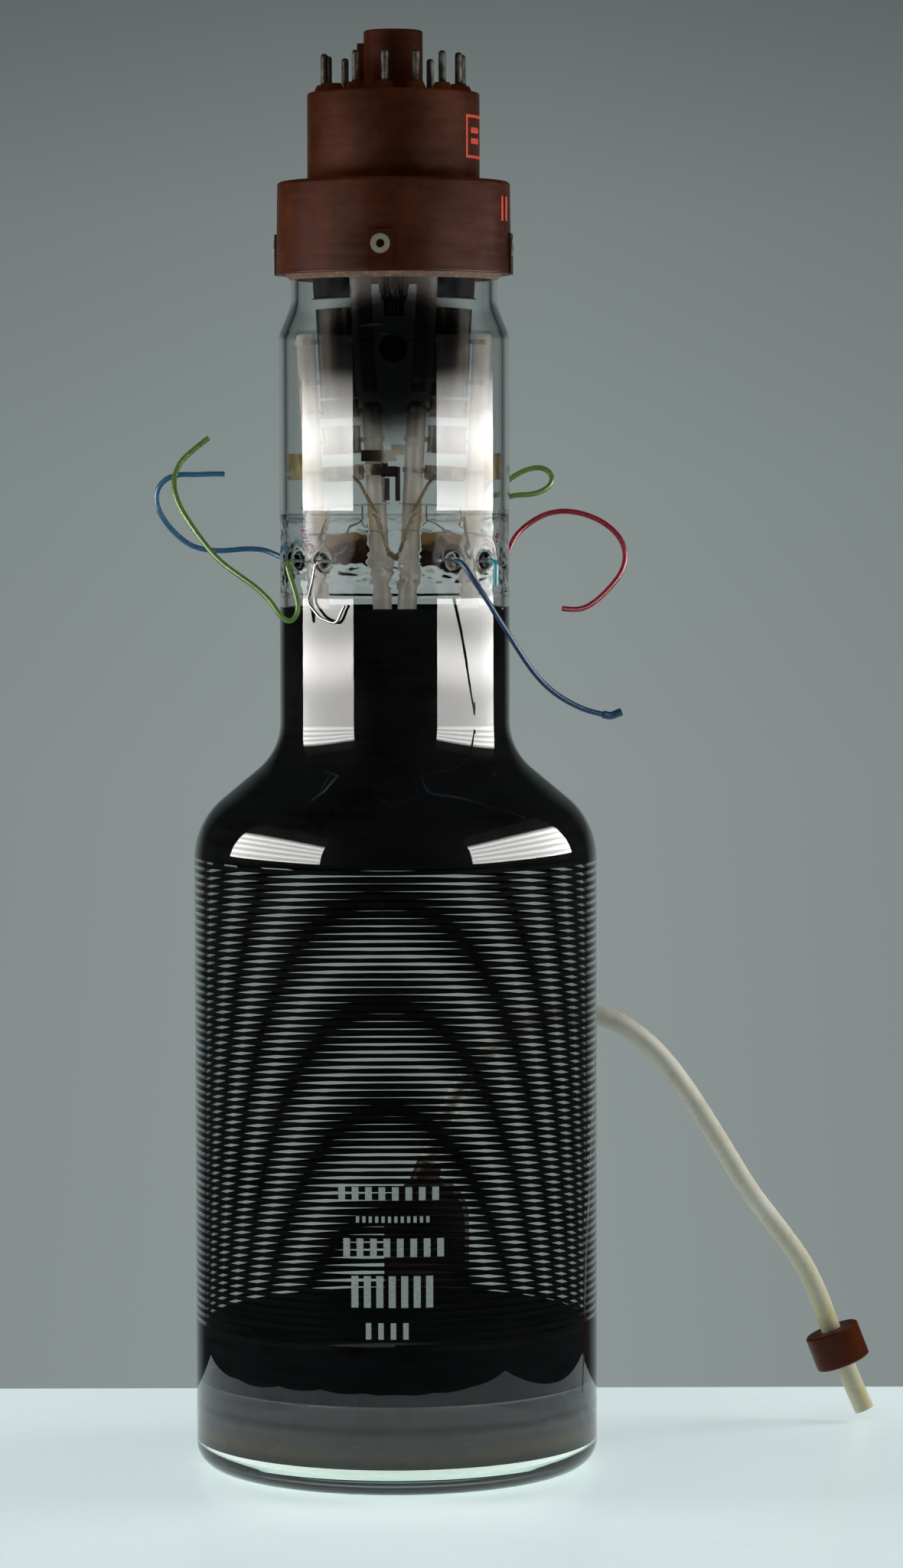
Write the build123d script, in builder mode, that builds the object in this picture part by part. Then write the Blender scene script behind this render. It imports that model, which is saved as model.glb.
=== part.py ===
from build123d import *

import os
from math import asin, atan, cos, degrees, pi, radians, sin, tan

# A two-gun cathode ray tube with a flat face and a spiral post-accelerator, standing on its face.
# Millimetres. The origin is the centre of the faceplate's outer face. +Z runs up the tube to its
# base, -Y is the front and +X is on the right. An azimuth is in degrees from the front, positive
# towards +X.

os.makedirs("parts", exist_ok=True)

# ---------------------------------------------------------------- driving dimensions
# Envelope
BODY_R = 65.1  # 5 1/8 in across
BODY_WALL = 3.0
NECK_R = 37.1
NECK_WALL = 2.3
THROAT_R = 33.2  # narrowed end of the neck, inside the base collar
FACE_THICK = 5.5
FACE_EDGE_R = 8.0
FACE_INNER_R = 3.0
FACE_SEAL_Z = 12.0  # where the faceplate's skirt is fused to the bulb
BODY_CORNER_Z = 208.9  # where the lines of the body and the shoulder cross
NECK_CORNER_Z = 232.1  # where the lines of the shoulder and the neck cross
SHOULDER_BEND = 25.0
NECK_BEND = 20.0
NECK_SPLICE_Z = 242.0  # where the straight neck is fused to the bulb
RING_LOW_Z = 281.6
RING_TOP_Z = 309.5
SEAL_Z = 293.5  # height of the lead seals in the ring
THROAT_LOW_Z = 365.5
THROAT_HIGH_Z = 375.0
NECK_END_Z = 400.0

# Coatings on the inside of the glass
COAT = 0.15
COAT_GAP = 0.03  # keeps the layers clear of the glass
SCREEN_EDGE_Z = 8.6
MARGIN_TOP_Z = 29.0
BAND_TOP_Z = 47.4
HELIX_TOP_Z = 197.4
HELIX_PITCH = 2.48
HELIX_STRIP = 1.32
SHOULDER_COAT_TOP_Z = 278.4

# Seals round the ring: front beads, then rear beads
SEAL_AZIMUTHS = (-56, -38, 31, 52, 120, 150, -150, -120)
SEAL_WIRE_R = 0.4
BEAD_R = 3.2
BEAD_TALL = 1.6

# Guns: each axis runs from the centre of the screen
GUN_OFFSET = 19.4  # at GUN_OFFSET_Z
GUN_OFFSET_Z = 380.0
SCREEN_Z = 5.5
GUN_TILT = degrees(atan(GUN_OFFSET / (GUN_OFFSET_Z - SCREEN_Z)))
SHEET = 0.3  # electrode sheet metal
BEAM_HOLE_R = 0.5
GRID_R = 6.6
GRID_FLANGE_R = 7.3
GRID_LOW_Z = 377.2
GRID_TALL = 15.0
ANODE_R = 6.2
FLANGE_R = 6.7
FIRST_ANODE_Z = (345.9, 373.6)
FOCUS_ANODE_Z = (339.2, 344.9)
SECOND_ANODE_Z = (327.6, 336.4)
APERTURE_CUP_Z = (318.8, 323.6)
ROD_R = 3.1
OUTER_ROD_OFFSET = 9.95  # from the gun's axis
INNER_ROD_OFFSET = -10.15
UPPER_ROD_R = 3.35
UPPER_ROD_SPOT = (-8.8, 6.5)  # from the gun's axis, in front of it and behind it
UPPER_ROD_Z = (347.0, 394.0)
OUTER_ROD_Z = (268.0, 367.5)
INNER_ROD_Z = (268.0, 344.0)
X_PLATE_Z = (303.2, 310.6)
Y_PLATE_Z = (291.8, 302.0)

# Base: medium-shell diheptal, 12 contacts in 14 positions
PIN_CIRCLE_R = 44.45 / 2  # 1.750 in
PIN_R = 2.36 / 2  # 0.093 in
PIN_ROOT_R = 0.95  # where it is held in the shell
PIN_TIP_Z = 455.5
POSITIONS = 14
PINS = (1, 2, 3, 4, 5, 7, 8, 9, 10, 11, 12, 14)
STEM_LEADS = len(PINS)
STEM_LEAD_SPOT_R = 3.0
STEM_LEAD_R = 0.3
KEY_AZIMUTH = -96.3
SHELL_R = 27.7
SHELL_WALL = 2.5
SHELL_TOP_Z = 443.0
WAFER = 4.0
LUG_R = 9.5
LUG_TOP_Z = 463.0
LUG_BORE_R = 6.5
KEY_REACH = 11.5
KEY_TOP_Z = 459.0
KEY_WIDTH = 3.2
BOSS_TALL = 2.4
BOSS_R = (3.5, 2.35)
COLLAR_TOP_R = 37.4
COLLAR_LOW_R = 37.8
COLLAR_TOP_Z = 414.6
COLLAR_LOW_Z = 384.9
COLLAR_PLATE = 3.0
SKIRT_R = 35.3
SKIRT_BORE_R = 34.0
SKIRT_LOW_Z = 389.0
EYELET_Z = 393.5
EYELET_AZIMUTH = -5.8
EYELET_COUNT = 4
EYELET_R = (1.9, 1.4)
EYELET_FLANGE_R = 3.1
PAD_REACH = 38.2
PAD_WIDTH = 8.0
PAD_TOP_Z = 398.0

# Leads
LEAD_DIA = 1.7
BARE_DIA = 0.9
HV_DIA = 6.7
HV_AZIMUTH = 171.8
HV_CONTACT_Z = 38.0
BOOT_WIDTH = 28.5
BOOT_Z = (26.0, 84.0)
BOOT_REACH = 79.0
HV_COLLAR_R = 9.25
HV_COLLAR_LONG = 12.0
CORNER_SHARE = 0.45  # of the shorter run beside a corner, taken up by its arc


# ---------------------------------------------------------------- places and shapes
def polar(radius, azimuth, height=0.0):
    """The point at a radius from the tube's axis, an azimuth and a height."""
    turn = radians(azimuth)
    return (radius * sin(turn), -radius * cos(turn), height)


def pin_azimuth(position):
    """Positions are counted clockwise from the key, as seen at the pins."""
    return KEY_AZIMUTH - (position - 0.5) * 360 / POSITIONS


def stem_lead_spot(index):
    """Where a lead goes through the press."""
    return polar(STEM_LEAD_SPOT_R, KEY_AZIMUTH - (index + 0.5) * 360 / STEM_LEADS)


def outward(radius, azimuth, height):
    """A plane that faces away from the tube's axis, with its local y up."""
    return Plane(
        origin=polar(radius, azimuth, height),
        x_dir=(cos(radians(azimuth)), sin(radians(azimuth)), 0),
        z_dir=polar(1, azimuth),
    )


def gun_axis_x(side, height):
    return side * (height - SCREEN_Z) * tan(radians(GUN_TILT))


def across_gun(side, height):
    """A plane square to a gun's axis at a height, with its local y to the rear."""
    tilt = radians(GUN_TILT) * side
    return Plane(
        origin=(gun_axis_x(side, height), 0, height),
        x_dir=(cos(tilt), 0, -sin(tilt)),
        z_dir=(sin(tilt), 0, cos(tilt)),
    )


def along_gun(side, height):
    """A plane through a gun's axis that faces the front, with its local y up that axis."""
    tilt = radians(GUN_TILT) * side
    return Plane(
        origin=(gun_axis_x(side, height), 0, height),
        x_dir=(cos(tilt), 0, -sin(tilt)),
        z_dir=(0, -1, 0),
    )


def beside_gun(side, height):
    """A plane through a gun's axis that faces along X, with its local x to the rear."""
    tilt = radians(GUN_TILT) * side
    return Plane(
        origin=(gun_axis_x(side, height), 0, height),
        x_dir=(0, 1, 0),
        z_dir=(cos(tilt), 0, -sin(tilt)),
    )


def turned(corners, radii):
    """A solid of revolution about the tube's axis, from (radius, height) corners and their radii."""
    with BuildPart() as body:
        with BuildSketch(Plane.XZ):
            with BuildLine():
                FilletPolyline(*corners, radius=radii, close=True)
            make_face()
        revolve(axis=Axis.Z)
    return body


def gun_tube(side, heights, rings):
    """A sheet metal tube on a gun's axis, with rings of a given height, radius and hole."""
    with BuildPart() as tube:
        with BuildSketch(across_gun(side, heights[0])):
            Circle(ANODE_R)
            Circle(ANODE_R - SHEET, mode=Mode.SUBTRACT)
        extrude(amount=heights[1] - heights[0])
        for ring_z, ring_r, hole_r in rings:
            with BuildSketch(across_gun(side, ring_z)):
                Circle(ring_r)
                Circle(hole_r, mode=Mode.SUBTRACT)
            extrude(amount=SHEET)
    return tube


def corner_radii(route):
    """The radius of each corner's arc, as large as the two runs beside it allow."""
    points = [Vector(*point) for point in route]
    radii = []
    for before, here, after in zip(points, points[1:], points[2:]):
        run_in = here - before
        run_out = after - here
        half_turn = radians(run_in.get_angle(run_out)) / 2
        radii.append(CORNER_SHARE * min(run_in.length, run_out.length) / tan(half_turn))
    return radii


def lead(route, diameter, name):
    """A lead as a tube: straight runs joined by tangent arcs."""
    radii = corner_radii(route)
    with BuildPart() as tube:
        with BuildLine() as path:
            FilletPolyline(*route, radius=radii)
        wire = path.wires()[0]
        with BuildSketch(Plane(origin=wire @ 0, z_dir=wire % 0)):
            Circle(diameter / 2)
        sweep(path=wire)
    ratio = tube.part.volume / (wire.length * pi * diameter**2 / 4)
    rounded = [round(radius, 1) for radius in radii]
    print(f"{name}: length {wire.length:.1f}, volume ratio {ratio:.3f}, radii {rounded}")
    return tube


# ---------------------------------------------------------------- glass envelope
# Faceplate: flat outside and inside, with a rounded edge and a short skirt.
faceplate_glass = turned(
    (
        (0, 0),
        (BODY_R, 0),
        (BODY_R, FACE_SEAL_Z),
        (BODY_R - BODY_WALL, FACE_SEAL_Z),
        (BODY_R - BODY_WALL, FACE_THICK),
        (0, FACE_THICK),
    ),
    (0, FACE_EDGE_R, 0, 0, FACE_INNER_R, 0),
)
faceplate_glass.part.label = "faceplate_glass"
export_step(faceplate_glass.part, "parts/faceplate_glass.step")

# Bulb: straight body and shoulder. The high-voltage contact goes through its rear.
NECK_BORE_R = NECK_R - NECK_WALL
BODY_BORE_R = BODY_R - BODY_WALL
with BuildPart() as bulb_glass:
    with BuildSketch(Plane.XZ):
        with BuildLine():
            FilletPolyline(
                (BODY_R, FACE_SEAL_Z),
                (BODY_R, BODY_CORNER_Z),
                (NECK_R, NECK_CORNER_Z),
                (NECK_R, NECK_SPLICE_Z),
                (NECK_BORE_R, NECK_SPLICE_Z),
                (NECK_BORE_R, NECK_CORNER_Z - 1.6),
                (BODY_BORE_R, BODY_CORNER_Z - 1.5),
                (BODY_BORE_R, FACE_SEAL_Z),
                radius=(0, SHOULDER_BEND, NECK_BEND, 0, 0, NECK_BEND + 2, SHOULDER_BEND - 4, 0),
                close=True,
            )
        make_face()
    revolve(axis=Axis.Z)
    with BuildSketch(outward(BODY_R + 1, HV_AZIMUTH, HV_CONTACT_Z)):
        Circle(1.0)
    extrude(amount=-BODY_WALL - 2, mode=Mode.SUBTRACT)
bulb_glass.part.label = "bulb_glass"
export_step(bulb_glass.part, "parts/bulb_glass.step")

# Lower neck: a straight tube fused on above the shoulder.
with BuildPart() as lower_neck_glass:
    with BuildSketch(Plane.XY.offset(NECK_SPLICE_Z)):
        Circle(NECK_R)
        Circle(NECK_BORE_R, mode=Mode.SUBTRACT)
    extrude(amount=RING_LOW_Z - NECK_SPLICE_Z)
lower_neck_glass.part.label = "lower_neck_glass"
export_step(lower_neck_glass.part, "parts/lower_neck_glass.step")

# Neck ring: the deflection leads are sealed through its wall, each in a drop of glass.
with BuildPart() as lead_ring_glass:
    for azimuth in SEAL_AZIMUTHS:
        with BuildSketch(outward(NECK_R - 1, azimuth, SEAL_Z)):
            Circle(BEAD_R)
        extrude(amount=BEAD_TALL + 1, taper=28)
    with BuildSketch(Plane.XY.offset(RING_LOW_Z)):
        Circle(NECK_R)
    extrude(amount=RING_TOP_Z - RING_LOW_Z)
    with BuildSketch(Plane.XY.offset(RING_LOW_Z)):
        Circle(NECK_BORE_R)
    extrude(amount=RING_TOP_Z - RING_LOW_Z, mode=Mode.SUBTRACT)
    for azimuth in SEAL_AZIMUTHS:
        with BuildSketch(outward(NECK_BORE_R - 1, azimuth, SEAL_Z)):
            Circle(SEAL_WIRE_R)
        extrude(amount=NECK_WALL + BEAD_TALL + 2, mode=Mode.SUBTRACT)
lead_ring_glass.part.label = "lead_ring_glass"
export_step(lead_ring_glass.part, "parts/lead_ring_glass.step")

# Neck: straight, then drawn in to the throat that goes up into the base.
THROAT_BORE_R = THROAT_R - NECK_WALL
neck_glass = turned(
    (
        (NECK_R, RING_TOP_Z),
        (NECK_R, THROAT_LOW_Z),
        (THROAT_R, THROAT_HIGH_Z),
        (THROAT_R, NECK_END_Z),
        (THROAT_BORE_R, NECK_END_Z),
        (THROAT_BORE_R, THROAT_HIGH_Z - 0.5),
        (NECK_BORE_R, THROAT_LOW_Z - 0.5),
        (NECK_BORE_R, RING_TOP_Z),
    ),
    (0, 7, 12, 0, 0, 14, 5, 0),
)
neck_glass.part.label = "neck_glass"
export_step(neck_glass.part, "parts/neck_glass.step")

# Stem: closes the throat, runs back down as a cone to the press, and carries the exhaust tip.
STEM_TOP_Z = NECK_END_Z + NECK_WALL
PRESS_Z = 375.5
TIP_R = 2.0
TIP_TOP_Z = 428.0
with BuildPart() as stem_glass:
    with BuildSketch(Plane.XZ):
        with BuildLine():
            FilletPolyline(
                (0, PRESS_Z),
                (4.0, PRESS_Z),
                (6.4, 392.0),
                (14.0, NECK_END_Z),
                (THROAT_R, NECK_END_Z),
                (THROAT_R, STEM_TOP_Z),
                (13.0, STEM_TOP_Z),
                (4.8, 393.0),
                (3.8, PRESS_Z + 3),
                (TIP_R, PRESS_Z + 3),
                (TIP_R, TIP_TOP_Z),
                (0, TIP_TOP_Z + 1.5),
                radius=(0, 1.5, 6, 3, 0, 1, 3, 5, 0.4, 0.4, 1.5, 0),
                close=True,
            )
        make_face()
    revolve(axis=Axis.Z)
    with BuildSketch(Plane.XY.offset(PRESS_Z - 1)):
        with Locations(*[stem_lead_spot(index) for index in range(STEM_LEADS)]):
            Circle(STEM_LEAD_R)
    extrude(amount=5, mode=Mode.SUBTRACT)
stem_glass.part.label = "stem_glass"
export_step(stem_glass.part, "parts/stem_glass.step")

# ---------------------------------------------------------------- coatings
COAT_R = BODY_BORE_R - COAT_GAP
SCREEN_LOW_Z = FACE_THICK + COAT_GAP

# Phosphor: over the inside of the face and a little way up the wall.
phosphor_screen = turned(
    (
        (0, SCREEN_LOW_Z),
        (COAT_R, SCREEN_LOW_Z),
        (COAT_R, SCREEN_EDGE_Z),
        (COAT_R - COAT, SCREEN_EDGE_Z),
        (COAT_R - COAT, SCREEN_LOW_Z + COAT),
        (0, SCREEN_LOW_Z + COAT),
    ),
    (0, FACE_INNER_R, 0, 0, FACE_INNER_R - COAT, 0),
)
phosphor_screen.part.label = "phosphor_screen"
export_step(phosphor_screen.part, "parts/phosphor_screen.step")


def wall_band(low, high):
    """A thin layer round the inside of the body."""
    with BuildPart() as band:
        with BuildSketch(Plane.XY.offset(low)):
            Circle(COAT_R)
            Circle(COAT_R - COAT, mode=Mode.SUBTRACT)
        extrude(amount=high - low)
    return band


screen_margin_coating = wall_band(SCREEN_EDGE_Z + COAT_GAP, MARGIN_TOP_Z - COAT_GAP)
screen_margin_coating.part.label = "screen_margin_coating"
export_step(screen_margin_coating.part, "parts/screen_margin_coating.step")

anode_band_coating = wall_band(MARGIN_TOP_Z, BAND_TOP_Z)
anode_band_coating.part.label = "anode_band_coating"
export_step(anode_band_coating.part, "parts/anode_band_coating.step")

# Spiral strip from the anode band up to the shoulder coating.
HELIX_START_Z = BAND_TOP_Z + HELIX_PITCH - HELIX_STRIP / 2
HELIX_TALL = HELIX_TOP_Z - HELIX_PITCH + HELIX_STRIP / 2 - HELIX_START_Z
with BuildPart() as helix_coating:
    with BuildLine() as spiral:
        Helix(
            pitch=HELIX_PITCH,
            height=HELIX_TALL,
            radius=COAT_R - COAT / 2,
            center=(0, 0, HELIX_START_Z),
        )
    spiral_start = spiral.line @ 0
    with BuildSketch(Plane(origin=spiral_start, x_dir=(1, 0, 0), z_dir=spiral.line % 0)):
        Rectangle(COAT, HELIX_STRIP)
    sweep(path=spiral.line, is_frenet=True)
helix_coating.part.label = "helix_coating"
export_step(helix_coating.part, "parts/helix_coating.step")

# Graphite coating of the shoulder and the lower neck.
NECK_COAT_R = NECK_BORE_R - COAT_GAP
shoulder_coating = turned(
    (
        (COAT_R, HELIX_TOP_Z),
        (COAT_R, BODY_CORNER_Z - 1.5),
        (NECK_COAT_R, NECK_CORNER_Z - 1.6),
        (NECK_COAT_R, SHOULDER_COAT_TOP_Z),
        (NECK_COAT_R - COAT, SHOULDER_COAT_TOP_Z),
        (NECK_COAT_R - COAT, NECK_CORNER_Z - 1.6 - COAT),
        (COAT_R - COAT, BODY_CORNER_Z - 1.5 - COAT),
        (COAT_R - COAT, HELIX_TOP_Z),
    ),
    (0, SHOULDER_BEND - 4, NECK_BEND + 2, 0, 0, NECK_BEND + 2, SHOULDER_BEND - 4, 0),
)
shoulder_coating.part.label = "shoulder_coating"
export_step(shoulder_coating.part, "parts/shoulder_coating.step")

# Getter flash: a round mirror film on the front of the neck's bore.
FLASH_Z = 361.0
FLASH_R = 19.0
FLASH_X = 1.0
neck_lining = turned(
    (
        (NECK_COAT_R, RING_TOP_Z),
        (NECK_COAT_R, THROAT_LOW_Z - 0.5),
        (THROAT_BORE_R - COAT_GAP, THROAT_HIGH_Z - 0.5),
        (THROAT_BORE_R - COAT_GAP, NECK_END_Z),
        (THROAT_BORE_R - COAT_GAP - COAT, NECK_END_Z),
        (THROAT_BORE_R - COAT_GAP - COAT, THROAT_HIGH_Z - 0.5),
        (NECK_COAT_R - COAT, THROAT_LOW_Z - 0.5),
        (NECK_COAT_R - COAT, RING_TOP_Z),
    ),
    (0, 5, 14, 0, 0, 14, 5, 0),
)
with BuildPart() as getter_flash_film:
    with BuildSketch(Plane(origin=(FLASH_X, -NECK_R, FLASH_Z), x_dir=(1, 0, 0), z_dir=(0, 1, 0))):
        Circle(FLASH_R)
    extrude(amount=20)
    add(neck_lining.part, mode=Mode.INTERSECT)
getter_flash_film.part.label = "getter_flash_film"
export_step(getter_flash_film.part, "parts/getter_flash_film.step")

# ---------------------------------------------------------------- electron guns
for side, hand in ((-1, "left"), (1, "right")):
    # Control grid: a dark cup with a flange, its hole over the cathode.
    with BuildPart() as control_grid:
        with BuildSketch(across_gun(side, GRID_LOW_Z)):
            Circle(GRID_FLANGE_R)
        extrude(amount=SHEET)
        with BuildSketch(across_gun(side, GRID_LOW_Z)):
            Circle(GRID_R)
        extrude(amount=GRID_TALL)
        with BuildSketch(across_gun(side, GRID_LOW_Z + 3.4)):
            Circle(GRID_R + 0.2)
        extrude(amount=SHEET)
        with BuildSketch(across_gun(side, GRID_LOW_Z + SHEET)):
            Circle(GRID_R - SHEET)
        extrude(amount=GRID_TALL, mode=Mode.SUBTRACT)
        with BuildSketch(across_gun(side, GRID_LOW_Z)):
            Circle(BEAM_HOLE_R)
        extrude(amount=1, mode=Mode.SUBTRACT)
    control_grid.part.label = f"control_grid_{hand}"
    export_step(control_grid.part, f"parts/control_grid_{hand}.step")

    # Cathode: a sleeve with a closed, coated end just above the grid's hole.
    CATHODE_R = 1.5
    CATHODE_LOW_Z = GRID_LOW_Z + 1.2
    with BuildPart() as cathode:
        with BuildSketch(across_gun(side, CATHODE_LOW_Z)):
            Circle(CATHODE_R)
        extrude(amount=10)
        with BuildSketch(across_gun(side, CATHODE_LOW_Z + SHEET)):
            Circle(CATHODE_R - SHEET)
        extrude(amount=10, mode=Mode.SUBTRACT)
    cathode.part.label = f"cathode_{hand}"
    export_step(cathode.part, f"parts/cathode_{hand}.step")

    # Heater: a hairpin inside the sleeve.
    with BuildPart() as heater:
        with BuildLine(along_gun(side, CATHODE_LOW_Z)) as hairpin:
            FilletPolyline((-0.6, 14), (-0.6, 0.9), (0.6, 0.9), (0.6, 14), radius=0.5)
        with BuildSketch(Plane(origin=hairpin.wires()[0] @ 0, z_dir=hairpin.wires()[0] % 0)):
            Circle(0.25)
        sweep(path=hairpin.wires()[0])
    heater.part.label = f"heater_{hand}"
    export_step(heater.part, f"parts/heater_{hand}.step")

    # Ceramic disc that holds the cathode in the grid cup.
    with BuildPart() as cathode_disc:
        with BuildSketch(across_gun(side, GRID_LOW_Z + 6.5)):
            Circle(GRID_R - SHEET)
            Circle(CATHODE_R, mode=Mode.SUBTRACT)
        extrude(amount=1.5)
    cathode_disc.part.label = f"cathode_disc_{hand}"
    export_step(cathode_disc.part, f"parts/cathode_disc_{hand}.step")

    # First anode: a long nickel cylinder, capped at the cathode's end.
    cap = (FIRST_ANODE_Z[1] - SHEET, ANODE_R, BEAM_HOLE_R)
    first_anode = gun_tube(side, FIRST_ANODE_Z, (cap,))
    first_anode.part.label = f"first_anode_{hand}"
    export_step(first_anode.part, f"parts/first_anode_{hand}.step")

    # Focus anode: a short cylinder with a flange at its lower end.
    flange = (FOCUS_ANODE_Z[0], FLANGE_R, ANODE_R - SHEET)
    focus_anode = gun_tube(side, FOCUS_ANODE_Z, (flange,))
    focus_anode.part.label = f"focus_anode_{hand}"
    export_step(focus_anode.part, f"parts/focus_anode_{hand}.step")

    # Second anode: a short cylinder with a flange at each end.
    flanges = [
        (flange_z, FLANGE_R, ANODE_R - SHEET)
        for flange_z in (SECOND_ANODE_Z[0], SECOND_ANODE_Z[1] - SHEET)
    ]
    second_anode = gun_tube(side, SECOND_ANODE_Z, flanges)
    second_anode.part.label = f"second_anode_{hand}"
    export_step(second_anode.part, f"parts/second_anode_{hand}.step")

    # Aperture cup: trims the beam before the deflection plates.
    with BuildPart() as aperture_cup:
        with BuildSketch(across_gun(side, APERTURE_CUP_Z[0])):
            Circle(FLANGE_R)
        extrude(amount=APERTURE_CUP_Z[1] - APERTURE_CUP_Z[0])
        fillet(aperture_cup.edges().group_by(Axis.Z)[0], 1.0)
        with BuildSketch(across_gun(side, APERTURE_CUP_Z[0] + 2 * SHEET)):
            Circle(FLANGE_R - 2 * SHEET)
        extrude(amount=10, mode=Mode.SUBTRACT)
        with BuildSketch(across_gun(side, APERTURE_CUP_Z[0])):
            Circle(1.5)
        extrude(amount=1, mode=Mode.SUBTRACT)
    aperture_cup.part.label = f"aperture_cup_{hand}"
    export_step(aperture_cup.part, f"parts/aperture_cup_{hand}.step")

    # Two insulating plates hold the deflection plates between the rods.
    with BuildPart() as plate_mounts:
        for level in (X_PLATE_Z[1], Y_PLATE_Z[1]):
            with BuildSketch(across_gun(side, level)):
                RectangleRounded(2 * OUTER_ROD_OFFSET + 9, 13, radius=4)
                Circle(2.6, mode=Mode.SUBTRACT)
                with Locations((side * OUTER_ROD_OFFSET, 0), (side * INNER_ROD_OFFSET, 0)):
                    Circle(ROD_R, mode=Mode.SUBTRACT)
            extrude(amount=0.6)
    plate_mounts.part.label = f"plate_mounts_{hand}"
    export_step(plate_mounts.part, f"parts/plate_mounts_{hand}.step")

    # X plates: one each side of the beam, turned outward at the lower end.
    with BuildPart() as x_plates:
        for sign in (-1, 1):
            with BuildSketch(along_gun(side, X_PLATE_Z[0])):
                with BuildLine():
                    Polyline(
                        (sign * 5.2, 7.4),
                        (sign * 5.2, 2.4),
                        (sign * 6.2, 0.6),
                        (sign * 6.7, 0.6),
                        (sign * 5.7, 2.4),
                        (sign * 5.7, 7.4),
                        close=True,
                    )
                make_face()
            extrude(amount=5.5, both=True)
    x_plates.part.label = f"x_plates_{hand}"
    export_step(x_plates.part, f"parts/x_plates_{hand}.step")

    # Y plates: one in front of the beam and one behind, turned outward at the lower end.
    with BuildPart() as y_plates:
        for sign in (-1, 1):
            with BuildSketch(beside_gun(side, Y_PLATE_Z[0])):
                with BuildLine():
                    Polyline(
                        (sign * 4.0, 10.1),
                        (sign * 4.0, 4.5),
                        (sign * 6.4, 0),
                        (sign * 6.9, 0),
                        (sign * 4.5, 4.7),
                        (sign * 4.5, 10.1),
                        close=True,
                    )
                make_face()
            extrude(amount=6.6, both=True)
    y_plates.part.label = f"y_plates_{hand}"
    export_step(y_plates.part, f"parts/y_plates_{hand}.step")

# ---------------------------------------------------------------- gun mount
# Ceramic support rods. Each gun hangs on one outer rod, on two upper inner rods in front of and
# behind its axis, and on one lower inner rod.
with BuildPart() as support_rods:
    for side in (-1, 1):
        with BuildSketch(across_gun(side, OUTER_ROD_Z[0])):
            with Locations((side * OUTER_ROD_OFFSET, 0)):
                Circle(ROD_R)
        extrude(amount=OUTER_ROD_Z[1] - OUTER_ROD_Z[0])
        with BuildSketch(across_gun(side, INNER_ROD_Z[0])):
            with Locations((side * INNER_ROD_OFFSET, 0)):
                Circle(ROD_R)
        extrude(amount=INNER_ROD_Z[1] - INNER_ROD_Z[0])
        with BuildSketch(across_gun(side, UPPER_ROD_Z[0])):
            with Locations(
                (side * UPPER_ROD_SPOT[0], -UPPER_ROD_SPOT[1]),
                (side * UPPER_ROD_SPOT[0], UPPER_ROD_SPOT[1]),
            ):
                Circle(UPPER_ROD_R)
        extrude(amount=UPPER_ROD_Z[1] - UPPER_ROD_Z[0])
    fillet(support_rods.edges().filter_by(GeomType.CIRCLE).group_by(Axis.Z)[-1], 1.2)
    rod_tops = support_rods.edges().filter_by(GeomType.CIRCLE)
    fillet(rod_tops.filter_by_position(Axis.Z, INNER_ROD_Z[1] - 1, INNER_ROD_Z[1] + 1), 2.2)
    rod_tops = support_rods.edges().filter_by(GeomType.CIRCLE)
    fillet(rod_tops.filter_by_position(Axis.Z, OUTER_ROD_Z[1] - 1, OUTER_ROD_Z[1] + 1), 1.2)
support_rods.part.label = "support_rods"
export_step(support_rods.part, "parts/support_rods.step")

# Straps: a clamp ring round a rod, with an ear that reaches the electrode.
STRAP_TALL = 1.6
STRAP_WIDE = 2.6
RING_WALL = 0.5
OUTER_SPOT = ((OUTER_ROD_OFFSET, 0, ROD_R),)
INNER_SPOT = ((INNER_ROD_OFFSET, 0, ROD_R),)
UPPER_SPOTS = tuple((UPPER_ROD_SPOT[0], sign * UPPER_ROD_SPOT[1], UPPER_ROD_R) for sign in (-1, 1))
STRAPS = (
    (GRID_LOW_Z + 8, GRID_R, UPPER_SPOTS),
    (363.0, ANODE_R, OUTER_SPOT + UPPER_SPOTS),
    (350.0, ANODE_R, OUTER_SPOT + UPPER_SPOTS),
    (FOCUS_ANODE_Z[0] + 1.2, ANODE_R, OUTER_SPOT + INNER_SPOT),
    (331.0, ANODE_R, OUTER_SPOT + INNER_SPOT),
    (APERTURE_CUP_Z[0] + 2.2, FLANGE_R, OUTER_SPOT + INNER_SPOT),
)
with BuildPart() as electrode_straps:
    for side in (-1, 1):
        for height, electrode_r, spots in STRAPS:
            for along, across, rod_r in spots:
                reach = (along**2 + across**2) ** 0.5
                bearing = degrees(asin(across / reach))
                if side * along < 0:
                    bearing = 180 - bearing
                with BuildSketch(across_gun(side, height)):
                    with Locations((side * along, across)):
                        Circle(rod_r + RING_WALL)
                    with Locations(Location((side * along / 2, across / 2, 0), (0, 0, bearing))):
                        Rectangle(reach, STRAP_WIDE)
                    with Locations((side * along, across)):
                        Circle(rod_r, mode=Mode.SUBTRACT)
                    Circle(electrode_r, mode=Mode.SUBTRACT)
                extrude(amount=STRAP_TALL)
electrode_straps.part.label = "electrode_straps"
export_step(electrode_straps.part, "parts/electrode_straps.step")

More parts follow.
